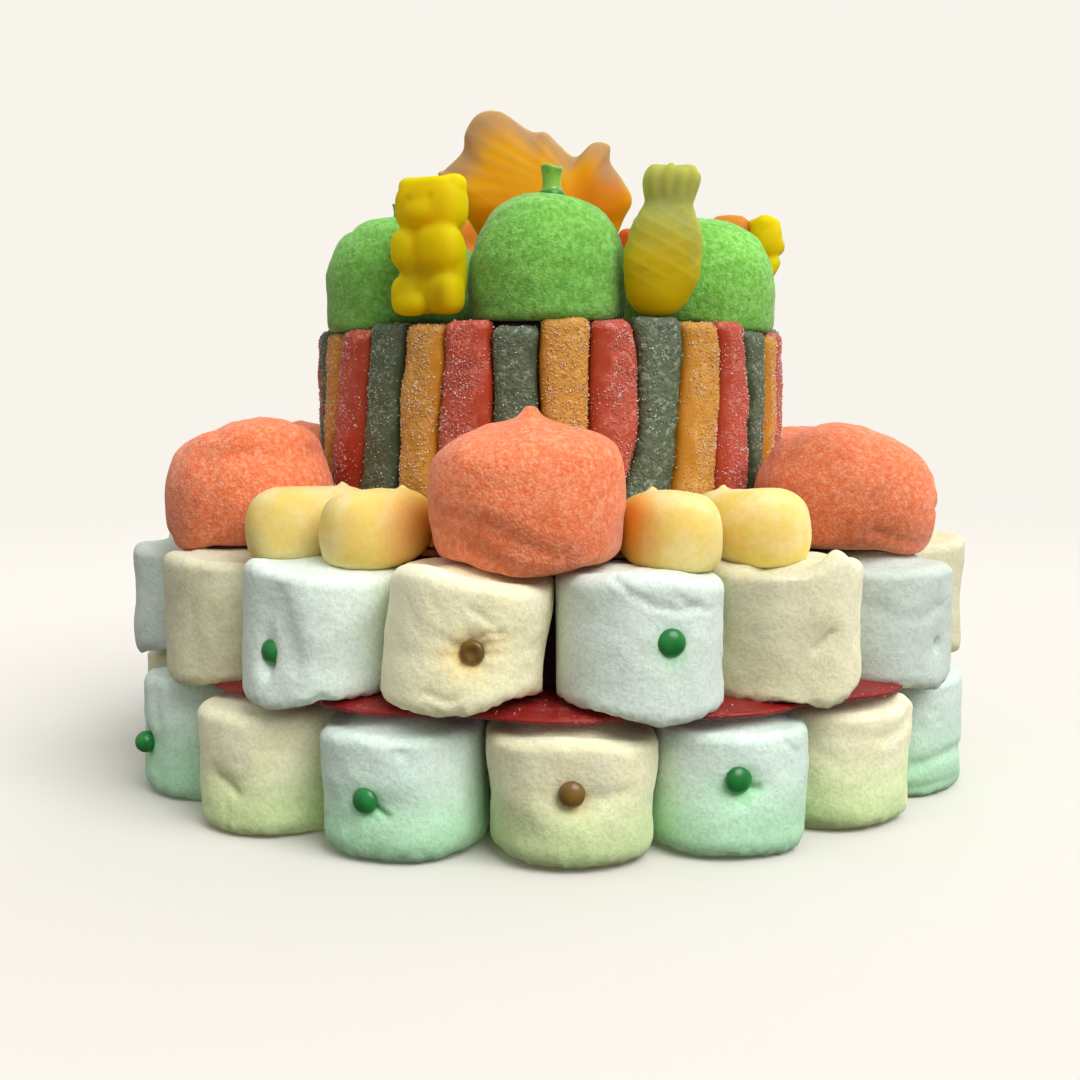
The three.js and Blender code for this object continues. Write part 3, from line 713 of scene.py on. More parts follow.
def bolster_profile(radius, height, foot, brim):
    """[reach, height] from the middle of the underside to the middle of the top.

    foot and brim are how far the two edges are rounded, as (inwards, upwards).
    """
    quarter = np.linspace(0, math.pi / 2, 10)
    foot_arc = np.stack([radius - foot[0] * (1 - np.sin(quarter)), foot[1] * (1 - np.cos(quarter))], axis=1)
    brim_arc = np.stack([radius - brim[0] * (1 - np.cos(quarter)),
                         height - brim[1] * (1 - np.sin(quarter))], axis=1)
    inside = np.linspace(0.12, 1, 6, endpoint=False)
    under = np.stack([inside * (radius - foot[0]), np.zeros(6)], axis=1)
    over = np.stack([inside[::-1] * (radius - brim[0]), np.full(6, height)], axis=1)
    side_heights = np.linspace(foot[1], height - brim[1], 30)[1:-1]
    side = np.stack([np.full(28, radius), side_heights], axis=1)
    return np.vstack([under, foot_arc, side, brim_arc, over])


def marshmallow(ring_name, number, radius, seed):
    """Rings of points of one marshmallow in its own frame, and its foot, stain and tone values, which carry
    painted bounce light and painted light and shade.
    """
    ring, random = RINGS[ring_name], np.random.default_rng(seed)
    height, sides = ring["height"], 108
    foot = (random.uniform(2.6, 3.6), random.uniform(3.4, 4.6)) if ring_name == "lower" else (
        random.uniform(1.8, 2.8), random.uniform(2.4, 3.4))
    brim = (random.uniform(2.2, 3.2), random.uniform(1.9, 2.9))
    profile = bolster_profile(radius, height, foot, brim)
    turns = np.linspace(0, 2 * math.pi, sides, endpoint=False)
    turns = -math.pi / 2 + turns - 0.45 * np.sin(turns)  # points lie closest at the front
    squareness = 2.25
    reach = (np.abs(np.cos(turns)) ** squareness + np.abs(np.sin(turns)) ** squareness) ** (-1 / squareness)
    rings = np.stack([profile[:, :1] * reach * np.cos(turns), profile[:, :1] * reach * np.sin(turns),
                      np.repeat(profile[:, 1:], sides, axis=1)], axis=-1)
    across, up, share = rings[..., 0], rings[..., 2].copy(), profile[:, :1] / radius
    front = np.maximum(0, -np.sin(turns))
    facing = smoothstep(front, 0.02, 0.3)
    relief = layered(rings, seed, (0.34, 9), (0.11, 3), (0.05, 1.2))
    ragged = (1 - smoothstep(up, 0.3, 3)) * smoothstep(share, 0.7, 0.95)
    relief += 0.22 * ragged * bumps(rings, 1.3, seed + 3)
    for shape, sizes in relief_of(ring_name, number, random):
        relief += facing * shape(across, up, *sizes)
    skin = swollen(rings, relief)
    drop = ring["sag"] * front ** 5 * (1 - smoothstep(up, 0, 0.6 * height)) * smoothstep(share, 0.7, 0.92)
    rise = ring["lip"] * front ** 2 * random.uniform(0.6, 1)
    for middle, width, extra in RAISED_BRIMS.get((ring_name, number), ()):
        rise = rise + facing * extra * np.exp(-((across - middle) / width) ** 2)
    skin[..., 2] += rise * smoothstep(up, 0.55 * height, height) * smoothstep(share, 0.62, 0.84) - drop
    corners = np.array(MARSHMALLOW_CORNERS.get((ring_name, number)) or chance_corners(random), float)
    right = smoothstep(across, -0.95 * radius, 0.95 * radius)
    high = smoothstep(up, 0.1 * height, 0.95 * height)
    near = smoothstep(-rings[..., 1], -0.7 * radius, 0.5 * radius)
    top = corners[0] * (1 - right[..., None]) + corners[1] * right[..., None]
    low = corners[2] * (1 - right[..., None]) + corners[3] * right[..., None]
    moved = (top * high[..., None] + low * (1 - high[..., None])) * (0.3 + 0.7 * near[..., None])
    outer = smoothstep(share, 0.3, 0.8)
    skin[..., 0] += moved[..., 0] * np.abs(across) / radius
    skin[..., 1] += SET_BACK.get((ring_name, number), 0) * near * outer
    skin[..., 2] += moved[..., 1] * outer
    room = (ring["centre"] - skin[..., 1]) * math.tan(math.radians(RING_STEP / 2)) - 0.06
    limits = corners[:2, 0, None, None] * high + corners[2:, 0, None, None] * (1 - high)
    skin[..., 0] = np.clip(skin[..., 0], np.maximum(limits[0], -1) - room, np.minimum(limits[1], 1.6) + room)
    skin[..., 2] = np.maximum(skin[..., 2], 0 if ring_name == "lower" else -ring["sag"] - 2.6)
    if ring_name == "lower":
        skin[0, :, 2] = 0
    stain = np.zeros(across.shape)
    for x, z, width, tall, strength in STAINS.get((ring_name, number), ()):
        patch = spot(across, up, x, z, width, tall)
        stain = np.maximum(stain, facing * strength * patch * (1 + 0.35 * bumps(rings, 1.6, seed + 4)))
    # Painted light and shade for the listed marshmallows; the others differ at random.
    tones = MARSHMALLOW_PAINTED_LIGHT.get((ring_name, number)) or random.uniform(0.9, 1.02, 2)
    tone = tones[0] * (1 - right) + tones[1] * right
    # The foot value weights the foot colour, which is painted green bounce light.
    values = {"foot": 1 - smoothstep(up, 0.0, 0.85 * height), "stain": np.clip(stain, 0, 1), "tone": tone}
    return skin, {name: skin_values(value) for name, value in values.items()}


def chance_corners(random):
    """Corners of a marshmallow that is dented by chance."""
    inwards, down = random.uniform(0, 1.4, 4), random.uniform(-1.8, 0.2, 2)
    return ((inwards[0], down[0]), (-inwards[1], down[1]), (inwards[2], 0.3), (-inwards[3], 0.3))


def relief_of(ring_name, number, random):
    """Hollows and creases of one marshmallow: its own, or chance ones where it has none."""
    shapes = list(MARSHMALLOW_RELIEF.get((ring_name, number), ()))
    bead = PICK_BEADS[ring_name].get(number)
    if bead:
        shapes.append((hollow, (bead[0], bead[1], 3.2, 3.2, 0.7)))
    if (ring_name, number) in MARSHMALLOW_RELIEF:
        return shapes
    x, z = random.uniform(-9, 9), random.uniform(8, 20)
    shapes.append((hollow, (x, z, random.uniform(4, 8), random.uniform(4, 8), random.uniform(0.4, 0.9))))
    if random.random() < 0.6:
        lean, length = random.uniform(-4, 4), random.uniform(4, 9)
        path = [(x, z), (x + lean / 2, z + length / 2), (x + lean, z + length)]
        shapes.append((crease, (path, random.uniform(0.6, 1.4), random.uniform(0.3, 0.7))))
    if bead and random.random() < 0.5:
        shapes.append((pucker, (bead[0], bead[1], 3.6, 0.22, 9)))
    return shapes


def dome_rings(knots, radius, height, rows, sides):
    """Rings of a round sweet whose profile runs smoothly through knots of [reach, height] shares."""
    profile = smooth_path(np.asarray(knots) * (radius, height), rows)
    profile[:, 0] = np.maximum(profile[:, 0], 0.05)
    return revolve(profile, sides)


def leaned(rings, start, height, aim):
    """Rings whose part above a height leans over so that its top stands at the aim."""
    share = smoothstep(rings[..., 2], start, height)
    moved = rings.copy()
    moved[..., 0] += share * aim[0]
    moved[..., 1] += share * aim[1]
    return moved


# Foam candies with an orange tint, by pair and half: how strong it is, from the right side
# if above zero and from the left if below.
FOAM_BLUSH = {(5, 1): 0.66, (0, 0): -0.9, (1, 1): 0.5, (2, 0): -0.7, (3, 1): 0.6, (4, 0): -0.4}
# How far the outer side of a sweet sags over what it lies on.
BALL_SLUMP = 1.9
GREEN_SLUMP = 1.5
FOAM_SLUMP = 1.7
# Painted light and shade: how much lighter or darker single foam halves are drawn.
FOAM_PAINTED_LIGHT = {(5, 0): 0.87, (5, 1): 0.92, (0, 0): 0.98, (0, 1): 1.03}  # how pale each half is

# Folds of single sugar-coated balls, on the side that faces outwards.
BALL_RELIEF = {
    0: [
        (crease, ([(-17, 10.6), (-12, 9.2), (-7, 8.8), (-2, 6.6), (4, 4.4), (8, 3.6)], 1.7, 0.6)),
        (crease, ([(-15, 6), (-9, 4.6), (-4, 2)], 1.6, 0.6)),
        (hollow, (-12, 4, 8, 4, 1.5)),
        (crease, ([(-3, 27), (-5, 25), (-9, 23)], 1.2, 0.35)),
        (crease, ([(3.4, 27), (6, 24.6), (9, 23)], 1.2, 0.35)),
    ],
    1: [
        (crease, ([(4, 9), (8, 7.4), (12, 3.4)], 0.8, 0.6)),
        (crease, ([(6, 13), (10, 10), (14, 5)], 0.8, 0.45)),
        (hollow, (-8, 12, 5, 5, 0.6)),
        (crease, ([(-14, 4), (-6, 2.6), (4, 3)], 1.2, 0.5)),
    ],
    5: [
        (crease, ([(-3, 25.4), (1, 24.6), (6, 25), (10, 23)], 0.8, 0.6)),
        (crease, ([(-14, 6), (-8, 3.4), (0, 2.6)], 1.2, 0.5)),
    ],
}


def orange_ball(ball, relief, seed):
    """Rings of a sugar-coated ball: a wide soft dome pinched into a small tip."""
    radius, height, tip = ball["radius"], ball["height"], ball["tip"]
    top = 1 + tip / height
    knots = [(0.06, 0), (0.45, 0), (0.78, 0.01), (0.93, 0.08), (0.99, 0.22), (1, 0.4)]
    if tip > 2:
        knots += [(0.985, 0.58), (0.955, 0.73), (0.9, 0.82), (0.81, 0.89), (0.69, 0.94), (0.55, 0.985),
                  (0.38, 0.2 * (top - 1) + 1), (0.24, 0.34 * (top - 1) + 1), (0.14, 0.52 * (top - 1) + 1),
                  (0.085, 0.76 * (top - 1) + 1), (0.06, 0.94 * (top - 1) + 1), (0.01, top)]
    else:
        knots += [(0.95, 0.6), (0.8, 0.79), (0.6, 0.91), (0.38, 0.972), (0.2, 0.5 * (top - 1) + 0.992),
                  (0.02, top)]
    rings = dome_rings(knots, radius, height, 96, 128)
    rings = leaned(rings, 0.7 * height, height, ball["tip_at"])
    lumps = layered(rings, seed, (0.55, 11), (0.2, 4), (0.07, 1.5))
    lumps *= smoothstep(rings[..., 2], 0, 2) * (1 - 0.7 * smoothstep(rings[..., 2], height, height * 1.05))
    facing = smoothstep(-rings[..., 1] / radius, 0.0, 0.25)
    for shape, sizes in relief:
        lumps += facing * shape(rings[..., 0], rings[..., 2], *sizes)
    skin = swollen(rings, lumps)
    return slumped(skin, (0.55 * radius, 0.88 * radius), 0.4 * height, BALL_SLUMP)


def slumped(skin, reach, height, drop):
    """Rings whose underside hangs lower from a reach on, over what it lies on."""
    over = smoothstep(-skin[..., 1], *reach) * (1 - smoothstep(skin[..., 2], 0, height))
    lowered = skin.copy()
    lowered[..., 2] -= drop * over
    return lowered


def green_ball(ball, seed):
    """Rings of a sugar-coated ball with straight sides and a domed top."""
    radius, height = ball["radius"], ball["height"]
    knots = [(0.06, 0), (0.5, 0), (0.89, 0.006), (0.975, 0.035), (1, 0.11), (1.005, 0.32), (0.98, 0.52),
             (0.89, 0.7), (0.72, 0.86), (0.48, 0.955), (0.24, 0.993), (0.03, 1)]
    rings = dome_rings(knots, radius, height, 88, 120)
    lumps = layered(rings, seed, (0.4, 10), (0.16, 3.6), (0.06, 1.4))
    lumps *= smoothstep(rings[..., 2], 0, 2)
    facing = smoothstep(-rings[..., 1] / radius, -0.1, 0.2)
    random = np.random.default_rng(seed)
    x, z = random.uniform(-7, 1), height - random.uniform(2, 5)
    path = [(x - 5, z - 2.4), (x - 1, z - 0.8), (x + 4, z - 0.6)]
    lumps += facing * crease(rings[..., 0], rings[..., 2], path, 0.7, 0.5)
    skin = swollen(rings, lumps)
    return slumped(skin, (0.4 * radius, 0.8 * radius), 0.3 * height, ball.get("slump", GREEN_SLUMP))


def foam_candy(seed):
    """Rings of one foam candy: a plump smooth lobe with a small point at the back of its top."""
    half_width, half_length, height, taper = 9.3, 15.6, 13.2, 0.1
    knots = [(0.08, 0), (0.5, 0), (0.8, 0.015), (0.94, 0.12), (1, 0.34), (0.975, 0.58), (0.86, 0.8),
             (0.64, 0.94), (0.34, 1.0), (0.04, 1.02)]
    rings = dome_rings(knots, 1, 1, 60, 84)
    along = np.divide(rings[..., 1], np.maximum(np.hypot(rings[..., 0], rings[..., 1]), 1e-6))
    full = 1 - taper * along
    skin = np.stack([rings[..., 0] * half_width * full, rings[..., 1] * half_length,
                     rings[..., 2] * height * (1 - taper * rings[..., 1])], axis=-1)
    lumps = layered(skin, seed, (0.3, 9), (0.08, 3))
    skin += lumps[..., None] * outward(skin) * smoothstep(skin[..., 2:], 0, 2)
    skin[..., 2] += 1.6 * smoothstep(skin[..., 1], -2, half_length)
    point = np.hypot(skin[..., 0], skin[..., 1] - 8)
    skin[..., 2] += 1.0 * np.exp(-(point / 0.9) ** 2) * (skin[..., 2] > height / 2)
    return slumped(skin, (-0.5 * half_length, 0.7 * half_length), 0.8 * height, FOAM_SLUMP)


# Colours of the jelly strips in turn.
STRIP_KINDS = ("orange", "red", "green")
# Edges before the strips that show, in degrees at their top, above their middle and near
# their foot. The others are spaced evenly.
STRIP_EDGES = {
    -6: (-68, -71, -76), -5: (-58.6, -62, -68), -4: (-46.3, -47.5, -51.3), -3: (-34.2, -36, -37.7),
    -2: (-24, -25.3, -26), -1: (-12.7, -13, -13.3), 0: (-2.3, -2.3, -2.2), 1: (8.7, 8.5, 8.2),
    2: (18.2, 20.3, 16.4), 3: (30.8, 30.8, 28.5), 4: (41.9, 42.3, 41.3), 5: (51.3, 53.4, 54),
    6: (61.9, 62.4, 62), 7: (71, 72, 73.5),
}
# Heights of the tops of those strips. The others are taller and shorter in turn.
STRIP_TOPS = {-6: 101.4, -5: 101.5, -4: 102.7, -3: 102.3, -2: 102.9, -1: 101.5, 0: 103.3, 1: 102.8, 2: 103.6,
              3: 102.9, 4: 103.2, 5: 101.8, 6: 101}
# Sides of strips where the sugar has come off: how much of the width, from the left if
# above zero and from the right if below.
STRIP_BARE = {-5: -0.34, -3: -0.16, -2: -0.12, 0: 0.1, 1: 0.36, 3: 0.2, 4: 0.18, 6: 0.2}


def strip_number(index):
    """Number of a strip counted from the front one, to the left below zero."""
    return (index + STRIP_COUNT // 2) % STRIP_COUNT - STRIP_COUNT // 2


def strip_edge(index, share):
    """Degrees round the cake of the edge before a strip, at shares of the wall's height."""
    number = strip_number(index)
    wobble = 0.25 * np.sin(7 * share + 2.3 * number) + 0.2 * np.sin(13 * share + 1.1 * number)
    if number in STRIP_EDGES:
        return np.polyval(np.polyfit((1, 0.66, 0.26), STRIP_EDGES[number], 2), share) + wobble
    sway = 1.2 * math.sin(0.7 * number + 0.4) * (1 - share) + 0.7 * np.sin(5.2 * share + 2.3 * number)
    return STRIP_FIRST_ANGLE + (number - 0.5) * 360 / STRIP_COUNT + sway + wobble


def strip_top(index):
    """Height of one strip's top."""
    chance = 102.3 + (0.5 if index % 2 == 0 else -0.5) + 0.4 * math.sin(0.9 * index)
    return STRIP_TOPS.get(strip_number(index), chance)


def jelly_strip(index, base, seed):
    """Rings of one upright strip between its two edges, and how well sugar covers each point."""
    side_rows, sides = 34, 44
    inner, outer = STRIP_INNER_RADIUS, STRIP_OUTER_RADIUS
    top, edge = strip_top(index), 2.0
    levels = np.linspace(0, math.pi / 2, 9)
    heights = np.concatenate([base + 0.8 * (1 - np.cos(levels[:-1])),
                              np.linspace(base + 0.8, top - edge, side_rows + 1)[:-1],
                              top - edge * (1 - np.sin(levels))])
    inset = np.concatenate([0.8 * (1 - np.sin(levels[:-1])), np.zeros(side_rows),
                            edge * (1 - np.cos(levels))])
    share = ((heights - base) / (top - base))[:, None]
    left = strip_edge(index, share)
    right = strip_edge(index + 1, share)
    right = np.where(right < left, right + 360, right)
    turns = np.linspace(0, 2 * math.pi, sides, endpoint=False)
    corner = 3.4
    reach = (np.abs(np.cos(turns)) ** corner + np.abs(np.sin(turns)) ** corner) ** (-1 / corner)
    across, out = reach * np.cos(turns), -reach * np.sin(turns)
    half_depth = (outer - inner) / 2 - inset[:, None]
    radius = (outer + inner) / 2 + half_depth * out
    half_angle = (right - left) / 2 - np.degrees((inset[:, None] * 0.7 + 0.1) / radius)
    angle = np.radians((left + right) / 2 + half_angle * across)
    rings = np.stack([radius * np.sin(angle), -radius * np.cos(angle),
                      np.repeat(heights[:, None], sides, axis=1)], axis=-1)
    lumps = layered(rings, seed, (0.22, 5), (0.12, 2.2))
    lumps *= smoothstep(out, 0.0, 0.9) * smoothstep(heights[:, None], base, base + 4)
    rings = swollen(rings, lumps)
    bare = STRIP_BARE.get(strip_number(index), 0.08 * math.sin(1.7 * index))
    from_side = 0.5 + 0.5 * across * np.sign(bare)
    ragged = layered(rings, seed + 2, (0.1, 5), (0.05, 1.5))
    covered = 0.5 + 0.5 * smoothstep(from_side + ragged, abs(bare) - 0.05, abs(bare) + 0.2)
    covered = np.maximum(covered, smoothstep(heights, top - 3, top - 1.2)[:, None])
    return rings, covered * (1 - 0.3 * smoothstep(np.abs(across), 0.86, 1))


def grains_on(points, faces, chance, size, count, seed):
    """Small eight-sided grains scattered over a mesh, as points and faces."""
    random = np.random.default_rng(seed)
    quads = np.array([face for face in faces if len(face) == 4])
    a, b, c, d = (points[quads[:, corner]] for corner in range(4))
    cross = np.cross(c - a, d - b)
    area = np.linalg.norm(cross, axis=1) / 2
    weight = area * chance[quads].mean(axis=1)
    picked = random.choice(len(quads), size=count, p=weight / weight.sum())
    u, v = random.uniform(size=(2, count, 1))
    spot = (a[picked] * (1 - u) + b[picked] * u) * (1 - v) + (d[picked] * (1 - u) + c[picked] * u) * v
    normal = cross[picked] / (2 * area[picked, None])
    reach = random.uniform(0.55, 1.2, (count, 1)) * size / 2
    turned = np.linalg.qr(random.normal(size=(count, 3, 3)))[0]
    axes = turned * (reach * random.uniform(0.7, 1.2, (count, 3)))[..., None]
    corners = np.concatenate([axes, -axes], axis=1) + (spot + normal * reach * 0.3)[:, None, :]
    pattern = np.array([(0, 1, 2), (1, 3, 2), (3, 4, 2), (4, 0, 2),
                        (1, 0, 5), (3, 1, 5), (4, 3, 5), (0, 4, 5)])
    flipped = np.linalg.det(turned) < 0
    triangles = np.where(flipped[:, None, None], pattern[None, :, ::-1], pattern[None])
    triangles = triangles + (6 * np.arange(count))[:, None, None]
    return corners.reshape(-1, 3), triangles.reshape(-1, 3).tolist()


def ball_mesh(centre, radius, rows=18, sides=24):
    """Points and faces of a small ball."""
    arc = np.linspace(0.08, math.pi - 0.08, rows)
    rings = revolve(np.stack([radius * np.sin(arc), -radius * np.cos(arc)], axis=1), sides)
    return closed_skin(rings + np.asarray(centre, float))


def melted(name, parts, voxel, smoothing):
    """Points and faces of rounded parts melted into one skin.

    Each part is (width, depth, height, x, y, z, squareness), in millimetres; a squareness
    of 2 makes it round and a higher one makes it more of a block.
    """
    shape = bmesh.new()
    for width, depth, height, x, y, z, squareness in parts:
        made = bmesh.ops.create_icosphere(shape, subdivisions=4, radius=1)
        for corner in made["verts"]:
            place = corner.co / sum(abs(c) ** squareness for c in corner.co) ** (1 / squareness)
            corner.co = Vector((x + place.x * width / 2, y + place.y * depth / 2, z + place.z * height / 2))
    mesh = bpy.data.meshes.new(name)
    shape.to_mesh(mesh)
    shape.free()
    blobs = bpy.data.objects.new(name, mesh)
    bpy.context.scene.collection.objects.link(blobs)
    remesh = blobs.modifiers.new("melt", "REMESH")
    remesh.mode, remesh.voxel_size = "VOXEL", voxel
    smooth = blobs.modifiers.new("soften", "SMOOTH")
    smooth.factor, smooth.iterations = 0.5, smoothing
    graph = bpy.context.evaluated_depsgraph_get()
    result = blobs.evaluated_get(graph).to_mesh()
    points = np.zeros(len(result.vertices) * 3)
    result.vertices.foreach_get("co", points)
    faces = [tuple(polygon.vertices) for polygon in result.polygons]
    bpy.data.objects.remove(blobs)
    bpy.data.meshes.remove(mesh)
    return points.reshape(-1, 3), faces


def dented(points, centre, radius, depth, direction=(0, 1, 0)):
    """Points pushed along a direction near a centre."""
    gap = np.linalg.norm(points - np.asarray(centre, float), axis=1)
    return points + depth * np.exp(-(gap / radius) ** 2)[:, None] * np.asarray(direction, float)


def gummy_bear(height):
    """Points and faces of a squat moulded bear that faces -Y."""
    body = (14.4, 9, 19, 0.2, 0.6, 10.2, 3.2)
    head = (16.2, 9.2, 11.2, 0, 0.4, 22.9, 3)
    muzzle = (7.6, 4.6, 5.2, -0.4, -2.9, 21.6, 2.2)
    ear = (5.6, 5.4, 4.6, 5.2, 0.8, 27.2, 2.4)
    arm = (10.6, 6.6, 10.4, 3.1, -1.7, 14.1, 2.6)
    other_arm = (6.4, 6.2, 8.6, -5, -1.8, 14.2, 2.6)
    leg = (7.2, 7.2, 8.4, 4.6, -1.2, 4.6, 3)
    foot = (8.4, 5.6, 5, -3.4, -2.5, 2.7, 2.6)
    brow = (13, 8.6, 4, 0, 0.6, 27, 3.4)
    mirrored = [(width, depth, tall, -x, y, z, square) for width, depth, tall, x, y, z, square in (ear, leg)]
    parts = [body, head, muzzle, ear, arm, other_arm, leg, foot, brow, *mirrored]
    points, faces = melted("bear_blobs", parts, 0.45, 8)
    for x, z, radius, depth in ((2.2, 24.4, 0.8, 0.6), (-3, 24.2, 0.8, 0.6), (-0.5, 22.2, 0.8, 0.4),
                                (-1.6, 9.4, 1.6, 0.6)):
        points = dented(points, (x, -3.8, z), radius, depth)
    points[:, 2] = np.maximum(points[:, 2] - points[:, 2].min(), 0)
    return points * height / points[:, 2].max(), faces


def gummy_dome(height):
    """Rings of a tall moulded slab with a round top, edge on to the front."""
    knots = [(0.05, 0), (0.3, 0), (0.6, 0.02), (0.72, 0.12), (0.84, 0.34), (0.93, 0.56), (1, 0.74),
             (0.86, 0.9), (0.5, 0.985), (0.05, 1)]
    rings = dome_rings(knots, 1, height, 48, 56)
    return rings * (4.4, 6.4, 1)


def gummy_pineapple(height, lean, seed):
    """Rings of a moulded pineapple with crossed lines and a leafy top, and where its lines are."""
    knots = [(0.3, 0), (2.6, 0.004), (5.2, 0.045), (7.3, 0.14), (8.6, 0.3), (8.7, 0.44), (7.7, 0.6),
             (6.2, 0.7), (5.5, 0.76), (5.7, 0.81), (6.2, 0.87), (6.4, 0.93), (5.9, 0.975), (4.6, 1.0),
             (0.3, 1.0)]
    flatness = 0.62
    profile = smooth_path(np.asarray(knots) * (1, height), 120)
    rings = revolve(profile, 120, flatness)
    up = rings[..., 2]
    angle = np.arctan2(rings[..., 1] / flatness, rings[..., 0])
    body = smoothstep(up, 0.1 * height, 0.3 * height) * (1 - smoothstep(up, 0.7 * height, 0.76 * height))
    crown = smoothstep(up, 0.76 * height, 0.82 * height)
    slope = up / height * 2 * math.pi
    sway = 0.3 * bumps(rings, 5, seed + 1)
    first = np.abs(np.sin(3.5 * angle + 4.9 * slope + sway)) ** 6
    second = np.abs(np.sin(3.5 * angle - 4.2 * slope + 0.8 - sway)) ** 8
    lines = body * np.maximum(first, 0.75 * second) * (0.75 + 0.35 * bumps(rings, 4, seed + 2))
    ribs = crown * np.abs(np.sin(5.5 * angle)) ** 2
    relief = 0.22 * lines + 0.4 * (ribs - 0.5 * crown) + 0.2 * bumps(rings, 4, seed)
    rings = swollen(rings, relief)
    rings[..., 0] += lean * up / height
    rings[..., 2] += crown * 0.35 * np.sin(5.5 * angle) * smoothstep(up, 0.9 * height, height)
    return rings, np.clip(0.25 * lines + 0.2 * ribs, 0, 1)


FAN_MIDDLE = (-1.9, 125.7)
FAN_OUTLINE = [
    (9, 19.4), (21, 23), (34, 23.2), (47, 23.8), (53, 26.6), (61, 25), (67, 20.2), (80, 21.9), (88, 24.3),
    (97, 24.9), (109, 30.8), (118, 32.5), (127, 30.6), (134, 27.6), (146, 28.1), (151, 28.3), (170, 17.7),
    (200, 13.9), (225, 15.6), (256, 23.4), (274, 22.8), (292, 24.4), (318, 19.4), (340, 17),
]
FAN_THICKNESS = 9
FAN_HINGE = (11, 133)  # the ribs of its left lobe spread from here


def gummy_fan():
    """Rings of the ribbed fan on top, from back to front, and where it is thin and deep."""
    degrees, reach = np.array(FAN_OUTLINE, float).T
    knots = np.stack([reach * np.cos(np.radians(degrees)), reach * np.sin(np.radians(degrees))], axis=1)
    outline = smooth_path(knots, 260, closed=True)
    slope = np.linspace(-math.pi / 2, math.pi / 2, 91)
    share = np.maximum(np.cos(slope) ** 0.6, 0.02)
    depth = FAN_THICKNESS / 2 * np.sign(np.sin(slope)) * np.abs(np.sin(slope)) ** 1.2
    flat = share[:, None, None] * outline[None]
    x, z = FAN_MIDDLE[0] + flat[..., 0], FAN_MIDDLE[1] + flat[..., 1]
    y = np.repeat(-depth[:, None], len(outline), axis=1)
    angle = np.arctan2(z - FAN_HINGE[1], x - FAN_HINGE[0])
    gap = np.hypot(x - FAN_HINGE[0], z - FAN_HINGE[1])
    lobe = smoothstep(gap, 2, 10) * (1 - smoothstep(x, -2, 6))
    lines = np.sin(48 * angle + 0.8 * np.sin(9 * angle)) * lobe
    web = spot(x, z, 6, 142, 2.4, 7)
    lump = spot(x, z, 12, 133, 6, 8)
    lift = (0.07 * lines - 1.1 * web + 0.9 * lump) * (np.abs(depth)[:, None] / (FAN_THICKNESS / 2)) ** 0.5
    y = y + lift * np.sign(y)
    rings = np.stack([x, y, z], axis=-1)
    upper = smoothstep(z, 134, 141)
    edge = smoothstep(np.repeat(share[:, None], len(outline), axis=1), 0.66, 0.99)
    thin = np.clip(0.9 * edge * upper + 0.14 * smoothstep(lines, 0.2, 1) * upper, 0, 1)
    deep = np.maximum(spot(x, z, 13, 133.5, 7, 7.5), spot(x, z, -13, 128, 7, 5))
    return rings, thin, np.clip(1.4 * deep, 0, 1)


# Settings

def colour_setting(name, description, hex_colour):
    """Colour property, given as sRGB."""
    return bpy.props.FloatVectorProperty(
        name=name, description=description, subtype="COLOR", size=3, min=0, max=1,
        default=linear(hex_colour))


def length_setting(name, description, millimetres):
    """Length property, given in millimetres."""
    return bpy.props.FloatProperty(
        name=name, description=description, unit="LENGTH", subtype="DISTANCE", default=millimetres * MM)


class MarshmallowSettings(bpy.types.PropertyGroup):
    """The two rings of marshmallows."""

    radius: length_setting("Radius", "Radius of a marshmallow", 16.0)
    yellow: colour_setting("Yellow", "Pale yellow marshmallows", "#f4efc6")
    blue: colour_setting("Blue", "Pale blue marshmallows of the upper ring", "#dceade")
    mint: colour_setting("Mint", "Pale mint marshmallows of the lower ring", "#d4e8da")
    # The two foot colours are painted green bounce light, greener towards the foot of the lower ring.
    yellow_foot: colour_setting("Yellow foot", "Foot of the lower yellow ones", "#d4eaa8")
    mint_foot_bounce_light: colour_setting("Mint foot", "Foot of the lower mint ones", "#b4e6ba")
    amber_stain: colour_setting("Amber stain", "Colour bled from amber picks", "#d8ab2e")
    green_stain: colour_setting("Green stain", "Colour bled from green picks", "#8fdc94")


class PickSettings(bpy.types.PropertyGroup):
    """Heads of the party picks."""

    green: colour_setting("Green", "Dark green pick heads", "#0b6a28")
    amber: colour_setting("Amber", "Amber pick heads", "#664a12")
    lime: colour_setting("Lime", "Pale green pick heads on the balls", "#8cc048")
    lime_foot: colour_setting("Lime foot", "Thick foot of those heads", "#348426")


class JellySettings(bpy.types.PropertyGroup):
    """Jelly strips, belt and core."""

    grain: length_setting("Sugar grain", "Width of a large sugar grain", 0.46)
    orange: colour_setting("Orange", "Bare orange jelly", "#bd7c18")
    orange_sugared: colour_setting("Orange sugared", "Sugared orange jelly", "#ca9240")
    red: colour_setting("Red", "Bare red jelly", "#a83a1a")
    red_sugared: colour_setting("Red sugared", "Sugared red jelly", "#be5642")
    green: colour_setting("Green", "Bare dark green jelly", "#3a4630")
    green_sugared: colour_setting("Green sugared", "Sugared dark green jelly", "#5c6950")
    belt: colour_setting("Belt", "Bare crimson jelly", "#871717")
    belt_sugared: colour_setting("Belt sugared", "Sugared crimson jelly", "#97332e")


